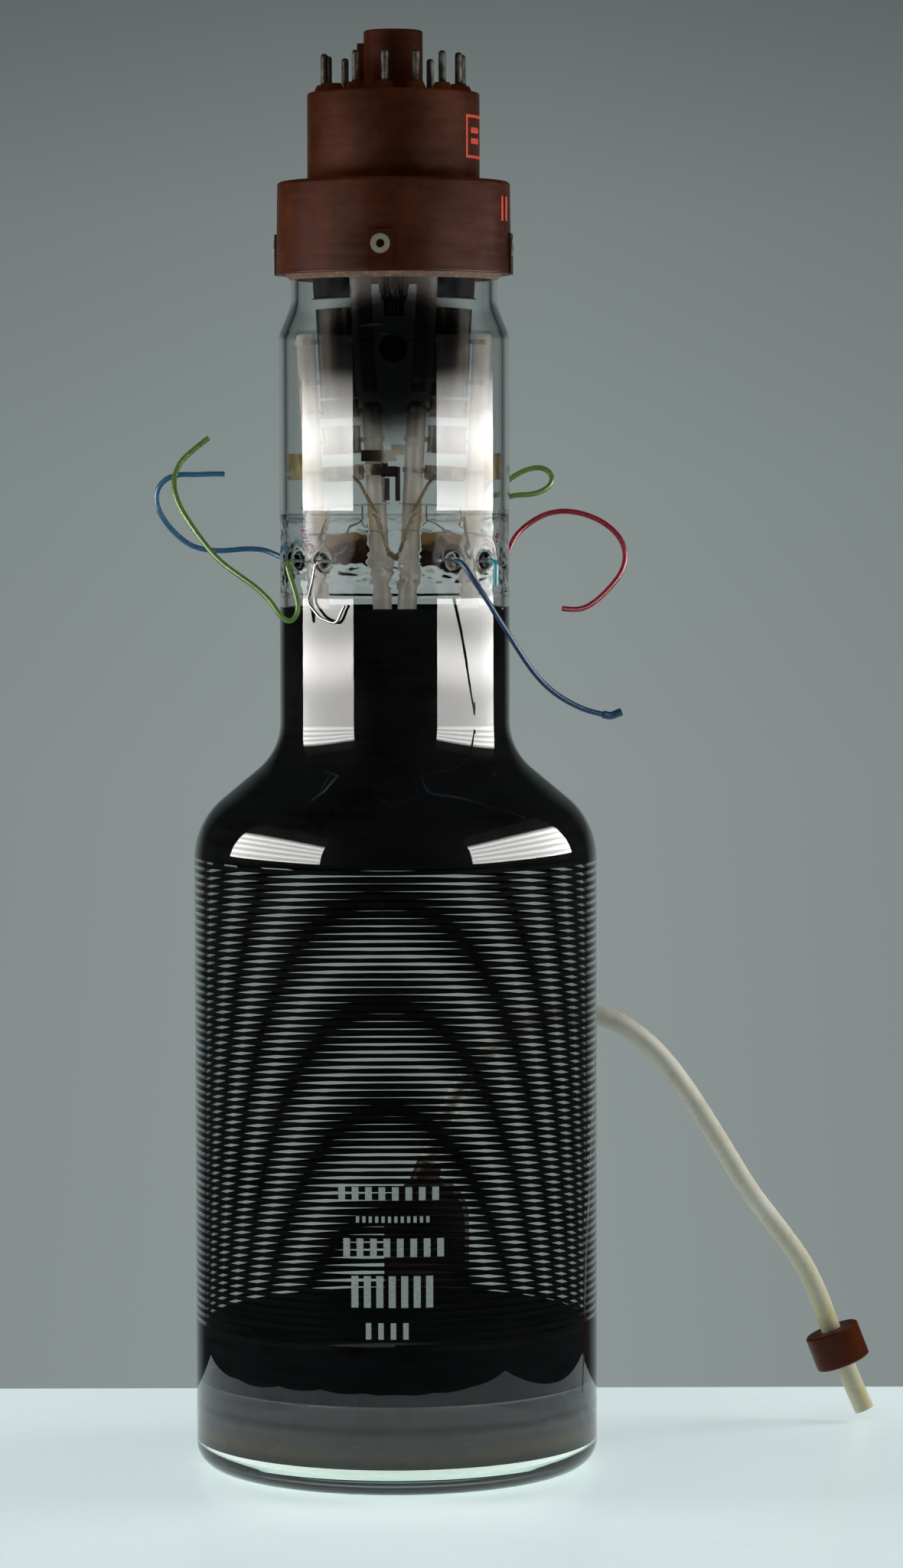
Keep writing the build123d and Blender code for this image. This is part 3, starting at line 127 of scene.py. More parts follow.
def lathe(name, points, material, node=None, segments=SEG, wobble=None, joints=()):
    """A closed (r, z) profile turned about Z. wobble(azimuth, r, z) adds to the radius, and the
    flat ends at the heights in joints, where glass is fused to glass, are left open."""
    area = sum(p.x * q.y - q.x * p.y for p, q in zip(points, points[1:] + points[:1]))
    if area < 0:
        points = points[::-1]
    verts, faces, rows = [], [], []
    for p in points:
        if p.x < 1e-6:
            rows.append([len(verts)] * segments)
            verts.append((0, 0, p.y))
            continue
        row = []
        for k in range(segments):
            azimuth = 360 * k / segments
            radius = p.x + (wobble(azimuth, p.x, p.y) if wobble else 0)
            row.append(len(verts))
            verts.append(polar(radius, azimuth, p.y))
        rows.append(row)
    for i, row in enumerate(rows):
        j = (i + 1) % len(rows)
        if any(abs(points[i].y - z) < 1e-4 and abs(points[j].y - z) < 1e-4 for z in joints):
            continue
        for k in range(segments):
            k2 = (k + 1) % segments
            face = []
            for v in (row[k], row[k2], rows[j][k2], rows[j][k]):
                if v not in face:
                    face.append(v)
            if len(face) > 2:
                faces.append(face)
    return add_mesh(name, verts, faces, material, node, wound=True)


def curve_piece(name, points, diameter, material, node=None, sides=6):
    """An open NURBS line with these control points (millimetres) and this thickness."""
    curve = bpy.data.curves.new(name, "CURVE")
    curve.dimensions = "3D"
    curve.bevel_depth = diameter * MM / 2
    curve.bevel_resolution = sides
    curve.resolution_u = 24
    curve.use_fill_caps = True
    spline = curve.splines.new("NURBS")
    spline.points.add(len(points) - 1)
    for target, point in zip(spline.points, points):
        target.co = (*(Vector(point) * MM), 1)
    spline.order_u = 3
    spline.use_endpoint_u = True
    curve.materials.append(material)
    piece = bpy.data.objects.new(name, curve)
    scene.collection.objects.link(piece)
    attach(piece, "root")
    if node:
        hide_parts(*([node] if isinstance(node, str) else node))
    return piece


# ------------------------------------------------------------------ material helpers
class Paint:
    """A node material built round one Principled shader."""

    def __init__(self, name, color=(0.8, 0.8, 0.8), roughness=0.5, metallic=0.0, **values):
        self.material = bpy.data.materials.new(name)
        self.material.use_nodes = True
        self.tree = self.material.node_tree
        self.shader = self.tree.nodes["Principled BSDF"]
        self.shader.inputs["Base Color"].default_value = (*color, 1)
        self.shader.inputs["Roughness"].default_value = roughness
        self.shader.inputs["Metallic"].default_value = metallic
        for key, value in values.items():
            self.shader.inputs[key.replace("_", " ")].default_value = value
        coordinates = self.node("ShaderNodeTexCoord")
        self.place = coordinates.outputs["Object"]

    def node(self, kind, **settings):
        made = self.tree.nodes.new(kind)
        for key, value in settings.items():
            setattr(made, key, value)
        return made

    def link(self, a, b):
        self.tree.links.new(a, b)

    def scaled(self, scale):
        mapping = self.node("ShaderNodeMapping")
        mapping.inputs["Scale"].default_value = scale
        self.link(self.place, mapping.inputs["Vector"])
        return mapping.outputs["Vector"]

    def noise(self, scale, detail=4.0, rough=0.55, stretch=None):
        texture = self.node("ShaderNodeTexNoise")
        texture.inputs["Scale"].default_value = scale
        texture.inputs["Detail"].default_value = detail
        texture.inputs["Roughness"].default_value = rough
        self.link(self.scaled(stretch) if stretch else self.place, texture.inputs["Vector"])
        return texture.outputs["Fac"]

    def ramp(self, source, stops):
        ramp = self.node("ShaderNodeValToRGB")
        elements = ramp.color_ramp.elements
        while len(elements) < len(stops):
            elements.new(0.5)
        for element, (position, color) in zip(elements, stops):
            element.position = position
            element.color = (*color, 1) if len(color) == 3 else color
        self.link(source, ramp.inputs["Fac"])
        return ramp.outputs["Color"]

    def math(self, operation, a, b=None, clamp=False):
        made = self.node("ShaderNodeMath", operation=operation, use_clamp=clamp)
        for socket, value in zip(made.inputs, (a, b)):
            if value is None:
                continue
            if isinstance(value, (int, float)):
                socket.default_value = value
            else:
                self.link(value, socket)
        return made.outputs[0]

    def span(self, source, low, high, out_low=0.0, out_high=1.0):
        made = self.node("ShaderNodeMapRange")
        made.inputs["From Min"].default_value = low
        made.inputs["From Max"].default_value = high
        made.inputs["To Min"].default_value = out_low
        made.inputs["To Max"].default_value = out_high
        self.link(source, made.inputs["Value"])
        return made.outputs[0]

    def mix(self, factor, a, b, blend="MIX"):
        made = self.node("ShaderNodeMix", data_type="RGBA", blend_type=blend)
        for index, value in ((0, factor), (6, a), (7, b)):
            if isinstance(value, (int, float)):
                made.inputs[index].default_value = value
            elif isinstance(value, tuple):
                made.inputs[index].default_value = (*value, 1) if len(value) == 3 else value
            else:
                self.link(value, made.inputs[index])
        return made.outputs[2]

    def axis(self, which):
        split = self.node("ShaderNodeSeparateXYZ")
        self.link(self.place, split.inputs[0])
        return split.outputs[which]

    def color(self, source):
        self.link(source, self.shader.inputs["Base Color"])

    def rough(self, source):
        self.link(source, self.shader.inputs["Roughness"])

    def bump(self, height, distance):
        made = self.node("ShaderNodeBump")
        made.inputs["Distance"].default_value = distance
        made.inputs["Strength"].default_value = 1.0
        self.link(height, made.inputs["Height"])
        if self.shader.inputs["Normal"].is_linked:
            self.link(self.shader.inputs["Normal"].links[0].from_socket, made.inputs["Normal"])
        self.link(made.outputs["Normal"], self.shader.inputs["Normal"])


def set_material(node, material):
    """Gives a CAD node its material."""
    materials = NODES[node].data.materials
    materials.clear()
    materials.append(material)


# ------------------------------------------------------------------ materials
def glass_material(name, color, wave=0.0, wave_scale=30.0, stretch=(1, 1, 0.25)):
    paint = Paint(name, color, 0.0, IOR=1.5, Transmission_Weight=1.0)
    if wave:
        paint.bump(paint.noise(wave_scale, 2.0, 0.5, stretch), wave)
    return paint.material


tube_glass = glass_material("tube_glass", (0.93, 0.94, 0.932), 0.00004, 22)
neck_clear = glass_material("neck_clear_glass", (0.985, 0.995, 0.99), 0.00006, 18)
ring_clear = glass_material("ring_glass", (0.98, 0.99, 0.985), 0.00012, 160, (1, 1, 1.4))
ring_clear.node_tree.nodes["Principled BSDF"].inputs["Specular Tint"].default_value = (0.08, 0.08, 0.08, 1)
face_green = glass_material("face_glass", (0.87, 0.96, 0.90), 0.00003, 30)


def phenolic():
    paint = Paint("phenolic", (0.1, 0.03, 0.015), 0.38, Specular_IOR_Level=0.13)
    cloud = paint.noise(38, 6, 0.62)
    fine = paint.noise(420, 3, 0.6)
    blend = paint.math("ADD", cloud, paint.math("MULTIPLY", fine, 0.25))
    paint.color(
        paint.ramp(
            blend,
            [(0.38, (0.036, 0.0065, 0.0016)), (0.62, (0.070, 0.0135, 0.003)), (0.85, (0.118, 0.028, 0.006))],
        )
    )
    scratches = paint.noise(60, 2, 0.5, (1, 1, 9))
    paint.rough(paint.span(paint.math("ADD", cloud, scratches), 0.6, 1.4, 0.30, 0.52))
    paint.bump(paint.noise(900, 2, 0.5), 0.00002)
    paint.bump(scratches, 0.00004)
    return paint.material


def pin_metal():
    paint = Paint("pin_metal", (0.3, 0.28, 0.25), 0.42, 0.85)
    stain = paint.noise(260, 5, 0.65)
    height = paint.axis(2)
    rub = paint.span(height, 0.4535, 0.4555)
    color = paint.ramp(
        stain,
        [(0.3, (0.06, 0.05, 0.04)), (0.5, (0.15, 0.135, 0.115)), (0.72, (0.27, 0.25, 0.225))],
    )
    paint.color(paint.mix(rub, color, (0.16, 0.13, 0.11)))
    paint.rough(paint.span(stain, 0.3, 0.7, 0.30, 0.62))
    paint.bump(paint.noise(900, 3, 0.6, (1, 1, 0.2)), 0.00002)
    return paint.material


def metal(name, low, high, rough_low, rough_high, scale=180, stretch=(1, 1, 0.1), metallic=1.0):
    paint = Paint(name, high, rough_high, metallic)
    grain = paint.noise(scale, 4, 0.6, stretch)
    cloud = paint.noise(scale * 0.4, 3, 0.5)
    tone = paint.math("MULTIPLY", paint.math("ADD", grain, cloud), 0.5)
    paint.color(paint.ramp(tone, [(0.3, low), (0.7, high)]))
    paint.rough(paint.span(cloud, 0.3, 0.7, rough_low, rough_high))
    paint.bump(grain, 0.00001)
    return paint.material


def ceramic():
    paint = Paint("ceramic", (0.8, 0.77, 0.7), 0.35, Subsurface_Weight=0.0)
    cloud = paint.noise(90, 4, 0.6)
    paint.color(paint.ramp(cloud, [(0.3, (0.70, 0.66, 0.57)), (0.7, (0.88, 0.855, 0.78))]))
    paint.rough(paint.span(cloud, 0.3, 0.7, 0.10, 0.22))
    paint.bump(paint.noise(160, 3, 0.6, (1, 1, 0.25)), 0.00010)
    return paint.material


def pvc(name, color, roughness=0.32, amount=0.1):
    paint = Paint(name, color, roughness)
    cloud = paint.noise(70, 4, 0.6)
    dark = tuple(c * (1 - amount) for c in color)
    light = tuple(min(1, c * (1 + amount)) for c in color)
    paint.color(paint.ramp(cloud, [(0.35, dark), (0.65, light)]))
    paint.rough(paint.span(paint.noise(300, 3, 0.6), 0.3, 0.7, roughness - 0.08, roughness + 0.12))
    return paint.material


def coating():
    paint = Paint("graphite_coating", (0.003, 0.003, 0.004), 0.4, Specular_IOR_Level=0.04)
    cloud = paint.noise(45, 5, 0.6)
    brush = paint.noise(30, 3, 0.6, (1, 1, 14))
    tone = paint.math("ADD", cloud, brush)
    paint.color(paint.ramp(tone, [(0.7, (0.0022, 0.0024, 0.0028)), (1.25, (0.007, 0.0075, 0.0085))]))
    paint.rough(paint.span(cloud, 0.3, 0.7, 0.25, 0.42))
    paint.bump(brush, 0.00003)
    return paint.material


def dark_plate_with_glints():
    """Dark brown deflection plates, painted lighter at the bottom edge and straw-gold at the top: painted
    highlights standing in for glints of light.
    """
    paint = Paint("dark_plate_painted_glints", (0.05, 0.03, 0.02), 0.3, 0.6)
    cloud = paint.noise(150, 4, 0.6)
    uneven = paint.math("MULTIPLY", paint.math("SUBTRACT", cloud, 0.5), 0.006)
    # The colour runs with height: the light bottom edge and the straw-gold top are painted highlights.
    level = paint.math("ADD", paint.axis(2), uneven)
    paint.color(
        paint.ramp(
            paint.span(level, 0.2845, 0.3010),
            [
                (0.0, (0.10, 0.065, 0.04)),
                (0.22, (0.012, 0.008, 0.006)),
                (0.66, (0.030, 0.014, 0.008)),
                (0.86, (0.10, 0.052, 0.022)),
                (0.97, (0.36, 0.24, 0.10)),
            ],
        )
    )
    paint.rough(paint.span(cloud, 0.3, 0.7, 0.2, 0.4))
    paint.bump(cloud, 0.00005)
    return paint.material


def plate_shine():
    """Polished cross plates with a painted reflection: each is painted bright at one end, as if it mirrored
    something bright, and dark beyond, as if it mirrored the dark room.
    """
    paint = Paint("bright_plate", (0.5, 0.45, 0.35), 0.2, 0.35)
    grain = paint.noise(300, 3, 0.5)
    along = paint.span(paint.axis(0), -0.0105, -0.0005)
    upper = paint.span(paint.axis(2), 0.3244, 0.3246)
    on_upper = paint.math("MULTIPLY", upper, along)
    lower, back = paint.math("SUBTRACT", 1.0, upper), paint.math("SUBTRACT", 1.0, along)
    place = paint.math("ADD", on_upper, paint.math("MULTIPLY", lower, back))
    place = paint.math("ADD", place, paint.math("MULTIPLY", paint.math("SUBTRACT", grain, 0.5), 0.25))
    # Painted reflection: each plate is light at one end and dark beyond, set by its place along X and its
    # height.
    paint.color(
        paint.ramp(
            place,
            [(0.30, (0.03, 0.026, 0.02)), (0.62, (0.13, 0.11, 0.08)), (0.74, (0.95, 0.90, 0.74))],
        )
    )
    paint.rough(paint.span(grain, 0.3, 0.7, 0.15, 0.3))
    return paint.material


PHENOLIC = phenolic()
PIN = pin_metal()
CERAMIC = ceramic()
COATING = coating()
NICKEL = metal("nickel", (0.30, 0.28, 0.25), (0.62, 0.59, 0.53), 0.12, 0.22)
DARK_METAL = metal("oxidised_metal", (0.012, 0.012, 0.014), (0.06, 0.058, 0.06), 0.30, 0.5)
SPRING = metal("spring_metal", (0.40, 0.29, 0.11), (0.85, 0.72, 0.42), 0.12, 0.25, 500, metallic=0.6)
PLATE = metal("plate_metal", (0.34, 0.22, 0.11), (0.90, 0.68, 0.38), 0.14, 0.26, 90, (1, 1, 1), 0.4)
DARK_GLINT_PLATE = dark_plate_with_glints()
STRAP = metal("strap_metal", (0.40, 0.38, 0.34), (0.62, 0.60, 0.55), 0.25, 0.4, metallic=0.4)
BRIGHT = plate_shine()
GUN_WIRE = metal("gun_wire", (0.22, 0.17, 0.10), (0.60, 0.52, 0.38), 0.2, 0.3)
WIRE = metal("drawn_wire", (0.16, 0.15, 0.15), (0.40, 0.39, 0.38), 0.25, 0.4)
DARK_WIRE = metal("resistance_wire", (0.02, 0.018, 0.018), (0.09, 0.08, 0.075), 0.3, 0.45)
EYELET = metal("eyelet_metal", (0.30, 0.26, 0.19), (0.66, 0.62, 0.52), 0.25, 0.42, metallic=0.5)

GREEN = pvc("green_sleeve", (0.17, 0.30, 0.055))
LIGHT_BLUE = pvc("light_blue_sleeve", (0.03, 0.165, 0.31))
RED = pvc("red_sleeve", (0.36, 0.014, 0.035))
DARK_BLUE = pvc("dark_blue_sleeve", (0.012, 0.066, 0.155))
CYAN = pvc("cyan_sleeve", (0.06, 0.42, 0.50))

# ------------------------------------------------------------------ glass envelope
FACE_SEAL = 12.0
body_outer = rounded(
    [
        (BODY_R, FACE_SEAL, 0),
        (BODY_R, 208.9, 25),
        (NECK_R, 232.1, 20),
        (NECK_R, RING_LOW, 0),
        (NECK_R - NECK_WALL, RING_LOW, 0),
        (NECK_R - NECK_WALL, 230.5, 22),
        (BODY_R - BODY_WALL, 207.4, 21),
        (BODY_R - BODY_WALL, FACE_SEAL, 0),
    ]
)


def neck_wave(azimuth, r, z):
    """Worked glass above the shoulder isn't quite round."""
    if r > 38 or r < NECK_R - 0.5:
        return 0
    p = polar(1, azimuth)
    fade = max(0.0, min(1.0, (z - 234) / 30)) * max(0.0, min(1.0, (RING_LOW - 2 - z) / 8))
    return 0.035 * fade * noise.noise(Vector((p.x * 2.3, p.y * 2.3, z * 0.045)))


bulb = lathe(
    "bulb_envelope",
    divided(body_outer, 6),
    tube_glass,
    ("bulb_glass", "lower_neck_glass"),
    wobble=neck_wave,
    joints=(FACE_SEAL, RING_LOW),
)

face_outer = rounded(
    [
        (0, 0, 0),
        (BODY_R, 0, 8),
        (BODY_R, FACE_SEAL, 0),
        (BODY_R - BODY_WALL, FACE_SEAL, 0),
        (BODY_R - BODY_WALL, 5.5, 3),
        (0, 5.5, 0),
    ]
)
face = lathe("faceplate", face_outer, face_green, "faceplate_glass", joints=(FACE_SEAL,))


def ring_wave(azimuth, r, z):
    """The ring's wall, softened when the leads were sealed in: melted ripples along the seals, a
    drop of glass at each of them, and a thin ridge where the ring is fused to its neighbours."""
    if r < NECK_R - 1:
        return 0
    t = (z - RING_LOW) / (RING_TOP - RING_LOW)
    edge = max(0.0, min(1.0, t * 7, (1 - t) * 7))
    p = polar(1, azimuth)
    melted = math.exp(-(((z - 290.5) / 5.0) ** 4))
    ripple = noise.noise(Vector((p.x * 5, p.y * 5, z * 0.30)))
    ripple += 0.6 * noise.noise(Vector((p.x * 13 + 5, p.y * 13, z * 0.75)))
    out = edge * (0.05 + 0.26 * melted) * ripple - 0.2 * edge
    for seal in SEALS:
        d_azimuth = (azimuth - seal + 180) % 360 - 180
        d = math.hypot(math.radians(d_azimuth) * NECK_R, z - SEAL_Z)
        out += 1.7 * math.exp(-((d / 2.3) ** 4)) - 0.3 * math.exp(-(((d - 4.6) / 1.7) ** 2))
    out += 0.10 * math.exp(-(((z - RING_LOW - 0.9) / 0.45) ** 2))
    out += 0.10 * math.exp(-(((z - RING_TOP + 0.9) / 0.45) ** 2))
    return out * min(1.0, t * 40, (1 - t) * 40)


ring_points = divided(
    [
        Vector((NECK_R, RING_LOW)),
        Vector((NECK_R, RING_TOP)),
        Vector((NECK_R - NECK_WALL, RING_TOP)),
        Vector((NECK_R - NECK_WALL, RING_LOW)),
    ],
    0.35,
)
ring = lathe(
    "lead_ring", ring_points, ring_clear, "lead_ring_glass", 512, ring_wave, joints=(RING_LOW, RING_TOP)
)

neck_points = rounded(
    [
        (NECK_R, RING_TOP, 0),
        (NECK_R, 365.5, 7),
        (THROAT_R, 375.0, 12),
        (THROAT_R, 399.9, 0),
        (THROAT_R - NECK_WALL, 399.9, 0),
        (THROAT_R - NECK_WALL, 374.5, 14),
        (NECK_R - NECK_WALL, 365.0, 5),
        (NECK_R - NECK_WALL, RING_TOP, 0),
    ]
)
neck = lathe("upper_neck", divided(neck_points, 6), neck_clear, "neck_glass", joints=(RING_TOP,))
stem_points = rounded(
    [
        (0, 375.5, 0),
        (4.0, 375.5, 1.5),
        (6.4, 392.0, 6),
        (14.0, 400.0, 3),
        (THROAT_R, 400.0, 0),
        (THROAT_R, 402.3, 1),
        (13.0, 402.3, 3),
        (4.8, 393.0, 5),
        (3.8, 378.5, 0.4),
        (2.0, 378.5, 0.4),
        (2.0, 428.0, 1.5),
        (0, 429.5, 0),
    ]
)
stem = lathe("stem", stem_points, neck_clear, "stem_glass", segments=128)
for piece in (bulb, face, ring, neck, stem):
    piece.visible_shadow = False

# ------------------------------------------------------------------ coatings
COAT = 0.12


def band(name, low, high, node, material, step=2.0):
    inner = COAT_R - COAT
    points = [Vector((COAT_R, low)), Vector((COAT_R, high)), Vector((inner, high)), Vector((inner, low))]
    return lathe(name, divided(points, step), material, node)


anode_band = band("anode_band", 28.8, 47.8, "anode_band_coating", COATING)
shoulder = lathe(
    "shoulder_layer",
    rounded(
        [
            (COAT_R, 198.2, 0),
            (COAT_R, 207.4, 21),
            (COAT_NECK_R, 230.5, 22),
            (COAT_NECK_R, 278.4, 0),
            (NECK_R - NECK_WALL - 0.16, 278.4, 0),
            (NECK_R - NECK_WALL - 0.16, 230.35, 22),
            (COAT_R - COAT, 207.25, 21),
            (COAT_R - COAT, 198.2, 0),
        ]
    ),
    COATING,
    "shoulder_coating",
)


def spiral_layer():
    """The spiral strip, with the slightly uneven edges of a ruled coating."""
    pitch, wide, low, high = 2.48, 1.37, 47.9, 197.6
    turns = (high - low) / pitch
    count = int(turns * 200)
    verts, faces = [], []
    for i in range(count + 1):
        turn = turns * i / count
        z = low + pitch * turn
        p = polar(1, 360 * turn)
        jitter = 0.07 * noise.noise(Vector((p.x * 6, p.y * 6, z * 3.1)))
        jitter_top = 0.09 * noise.noise(Vector((p.x * 9 + 7, p.y * 9, z * 2.3)))
        lower, upper = z - wide / 2 + jitter, z + wide / 2 + jitter_top
        inner = COAT_R - COAT
        for radius, height in ((COAT_R, lower), (COAT_R, upper), (inner, upper), (inner, lower)):
            verts.append((p.x * radius, p.y * radius, height))
        if i:
            a = 4 * (i - 1)
            for k in range(4):
                faces.append((a + k, a + (k + 1) % 4, a + 4 + (k + 1) % 4, a + 4 + k))
    faces.append((0, 1, 2, 3))
    faces.append(tuple(4 * count + k for k in range(4)))
    return add_mesh("spiral_layer", verts, faces, COATING, "helix_coating", smooth=False)


spiral_layer()


def margin_material():
    paint = Paint("screen_margin", (0.1, 0.1, 0.1), 0.5)
    height = paint.axis(2)
    cloud = paint.noise(25, 4, 0.6, (1, 1, 4))
    wavy = paint.math("ADD", height, paint.math("MULTIPLY", paint.math("SUBTRACT", cloud, 0.5), 0.0022))
    tone = paint.ramp(
        paint.span(wavy, 0.0086, 0.029),
        [
            (0.0, (0.030, 0.026, 0.040)),
            (0.07, (0.022, 0.020, 0.018)),
            (0.20, (0.074, 0.055, 0.026)),
            (0.38, (0.030, 0.036, 0.031)),
            (0.50, (0.062, 0.067, 0.066)),
            (0.62, (0.005, 0.005, 0.006)),
            (0.70, (0.040, 0.043, 0.046)),
            (0.90, (0.024, 0.027, 0.030)),
        ],
    )
    paint.color(tone)
    paint.rough(paint.span(cloud, 0.3, 0.7, 0.4, 0.7))
    alpha = paint.ramp(
        paint.span(wavy, 0.0086, 0.029),
        [(0.0, (0.93,) * 3), (0.4, (0.82,) * 3), (0.56, (0.93,) * 3), (0.75, (0.85,) * 3), (1.0, (0.8,) * 3)],
    )
    paint.link(alpha, paint.shader.inputs["Alpha"])
    return paint.material


margin = band("screen_margin_layer", 8.9, 28.8, "screen_margin_coating", margin_material(), step=1.0)


def phosphor_material():
    paint = Paint("phosphor", (0.75, 0.8, 0.72), 0.8)
    grain = paint.noise(1900, 2, 0.6)
    cloud = paint.noise(60, 3, 0.5)
    # The rim up the side wall is painted whiter and brighter than the face: painted light.
    low = paint.ramp(grain, [(0.3, (0.55, 0.60, 0.52)), (0.7, (0.86, 0.90, 0.82))])
    high = paint.ramp(grain, [(0.3, (0.52, 0.52, 0.55)), (0.7, (0.95, 0.95, 0.97))])
    paint.color(paint.mix(paint.span(paint.axis(2), 0.006, 0.0085), low, high))
    paint.bump(grain, 0.00006)
    paint.rough(paint.span(cloud, 0.3, 0.7, 0.7, 0.9))
    # The emission is a painted glow, standing in for light from the table that comes through the screen.
    paint.shader.inputs["Emission Color"].default_value = (0.88, 0.95, 0.90, 1)
    paint.shader.inputs["Emission Strength"].default_value = 0.46
    return paint.material


phosphor_points = rounded(
    [
        (0, 5.54, 0),
        (SCREEN_R, 5.54, 3),
        (SCREEN_R, 9.0, 0),
        (SCREEN_R - 0.1, 9.0, 0),
        (SCREEN_R - 0.1, 5.7, 2.9),
        (0, 5.7, 0),
    ]
)
screen = lathe("phosphor_layer", phosphor_points, phosphor_material(), "phosphor_screen")


# ------------------------------------------------------------------ getter flash
FILM_R, FILM_THROAT_R = NECK_R - NECK_WALL - 0.05, THROAT_R - NECK_WALL - 0.05
FILM_LOW, FILM_TOP = 316.0, 384.0


def flash_material():
    """A black mirror spot whose rim thins out through brown and blue."""
    paint = Paint("getter_flash", (0.02, 0.02, 0.022), 0.12, 1.0)
    across, height = paint.axis(0), paint.axis(2)
    side = paint.math("MULTIPLY", paint.math("SUBTRACT", across, 0.0005), 0.88)
    rise = paint.math("SUBTRACT", height, 0.3608)
    rise = paint.math("MAXIMUM", rise, paint.math("MULTIPLY", rise, -0.72))
    reach = paint.math("SQRT", paint.math("ADD", paint.math("POWER", side, 2), paint.math("POWER", rise, 2)))
    wavy = paint.math("ADD", reach, paint.math("MULTIPLY", paint.noise(60, 4, 0.6), 0.005))
    film = paint.ramp(
        paint.span(wavy, 0.0, 0.026),
        [
            (0.0, (0.0016, 0.0016, 0.0018)),
            (0.68, (0.0022, 0.0020, 0.0016)),
            (0.78, (0.030, 0.020, 0.014)),
            (0.86, (0.22, 0.17, 0.13)),
            (0.93, (0.30, 0.38, 0.52)),
        ],
    )
    # Light streaks in one window of the film are painted highlights.
    streaks = paint.noise(700, 2, 0.5, (0.10, 0.10, 1.0))
    streak_highlight = paint.ramp(streaks, [(0.66, (0, 0, 0)), (0.70, (1, 1, 1))])
    above, below = paint.span(height, 0.3615, 0.3630), paint.span(height, 0.3720, 0.3690)
    where = paint.math("MULTIPLY", above, below, clamp=True)
    where = paint.math("MULTIPLY", where, paint.span(across, -0.017, -0.012), clamp=True)
    where = paint.math("MULTIPLY", where, paint.span(across, 0.002, -0.001), clamp=True)
    paint.color(paint.mix(paint.math("MULTIPLY", streak_highlight, where, clamp=True), film, (0.75, 0.75, 0.73)))
    fade = paint.ramp(
        paint.span(wavy, 0.0, 0.026),
        [
            (0.50, (0.988,) * 3),
            (0.66, (0.97,) * 3),
            (0.76, (0.86,) * 3),
            (0.87, (0.45,) * 3),
            (1.0, (0, 0, 0)),
        ],
    )
    paint.link(fade, paint.shader.inputs["Alpha"])
    return paint.material


def flash_film():
    """A patch of the neck's inner wall round the getter spot."""
    line = rounded(
        [
            (FILM_R, FILM_LOW, 0),
            (FILM_R, 365.0, 5),
            (FILM_THROAT_R, 374.5, 14),
            (FILM_THROAT_R, FILM_TOP, 0),
            (10, FILM_TOP, 0),
            (10, FILM_LOW, 0),
        ]
    )
    line = [p for p in line if p.x > 25]
    line.sort(key=lambda p: p.y)
    full = []
    for a, b in zip(line, line[1:]):
        count = max(1, int((b - a).length / 1.0))
        full += [a.lerp(b, k / count) for k in range(count)]
    full.append(line[-1])
    verts, faces = [], []
    columns = 72
    for p in full:
        for k in range(columns + 1):
            verts.append(polar(p.x, -60 + 120 * k / columns, p.y))
    for i in range(len(full) - 1):
        for k in range(columns):
            a = i * (columns + 1) + k
            faces.append((a, a + 1, a + columns + 2, a + columns + 1))
    return add_mesh(
        "getter_flash_layer", verts, faces, flash_material(), "getter_flash_film"
    )


flash = flash_film()
flash.visible_shadow = False

# ------------------------------------------------------------------ base
set_material("base_shell", PHENOLIC)
set_material("base_collar", PHENOLIC)
set_material("base_pins", PIN)
set_material("eyelets", EYELET)


def cement_material():
    paint = Paint("cement", (0.3, 0.12, 0.03), 0.7)
    grain = paint.noise(500, 5, 0.65)
    paint.color(
        paint.ramp(
            grain,
            [(0.3, (0.05, 0.017, 0.005)), (0.55, (0.13, 0.052, 0.015)), (0.75, (0.30, 0.16, 0.06))],
        )
    )
    paint.bump(grain, 0.00015)
    return paint.material


set_material("basing_cement", cement_material())

# ------------------------------------------------------------------ guns
for hand in ("left", "right"):
    set_material(f"control_grid_{hand}", DARK_METAL)
    set_material(f"cathode_{hand}", NICKEL)
    set_material(f"heater_{hand}", WIRE)
    set_material(f"cathode_disc_{hand}", CERAMIC)
    for part in ("first_anode", "focus_anode", "second_anode", "aperture_cup"):
        set_material(f"{part}_{hand}", NICKEL)
    set_material(f"x_plates_{hand}", PLATE)
    set_material(f"y_plates_{hand}", DARK_GLINT_PLATE)
    mica = Paint(f"mica_{hand}", (0.5, 0.46, 0.38), 0.2)
    mica.color(mica.ramp(mica.noise(120, 4, 0.6), [(0.3, (0.10, 0.085, 0.06)), (0.7, (0.28, 0.25, 0.20))]))
    mica.shader.inputs["Alpha"].default_value = 0.3
    set_material(f"plate_mounts_{hand}", mica.material)
set_material("support_rods", CERAMIC)
set_material("electrode_straps", STRAP)
set_material("cross_plates", BRIGHT)
set_material("snubber_springs", SPRING)
set_material("centre_coils", DARK_WIRE)
set_material("getter", NICKEL)
set_material("stem_leads", WIRE)
set_material("plate_leads", WIRE)
set_material("gun_wires", GUN_WIRE)

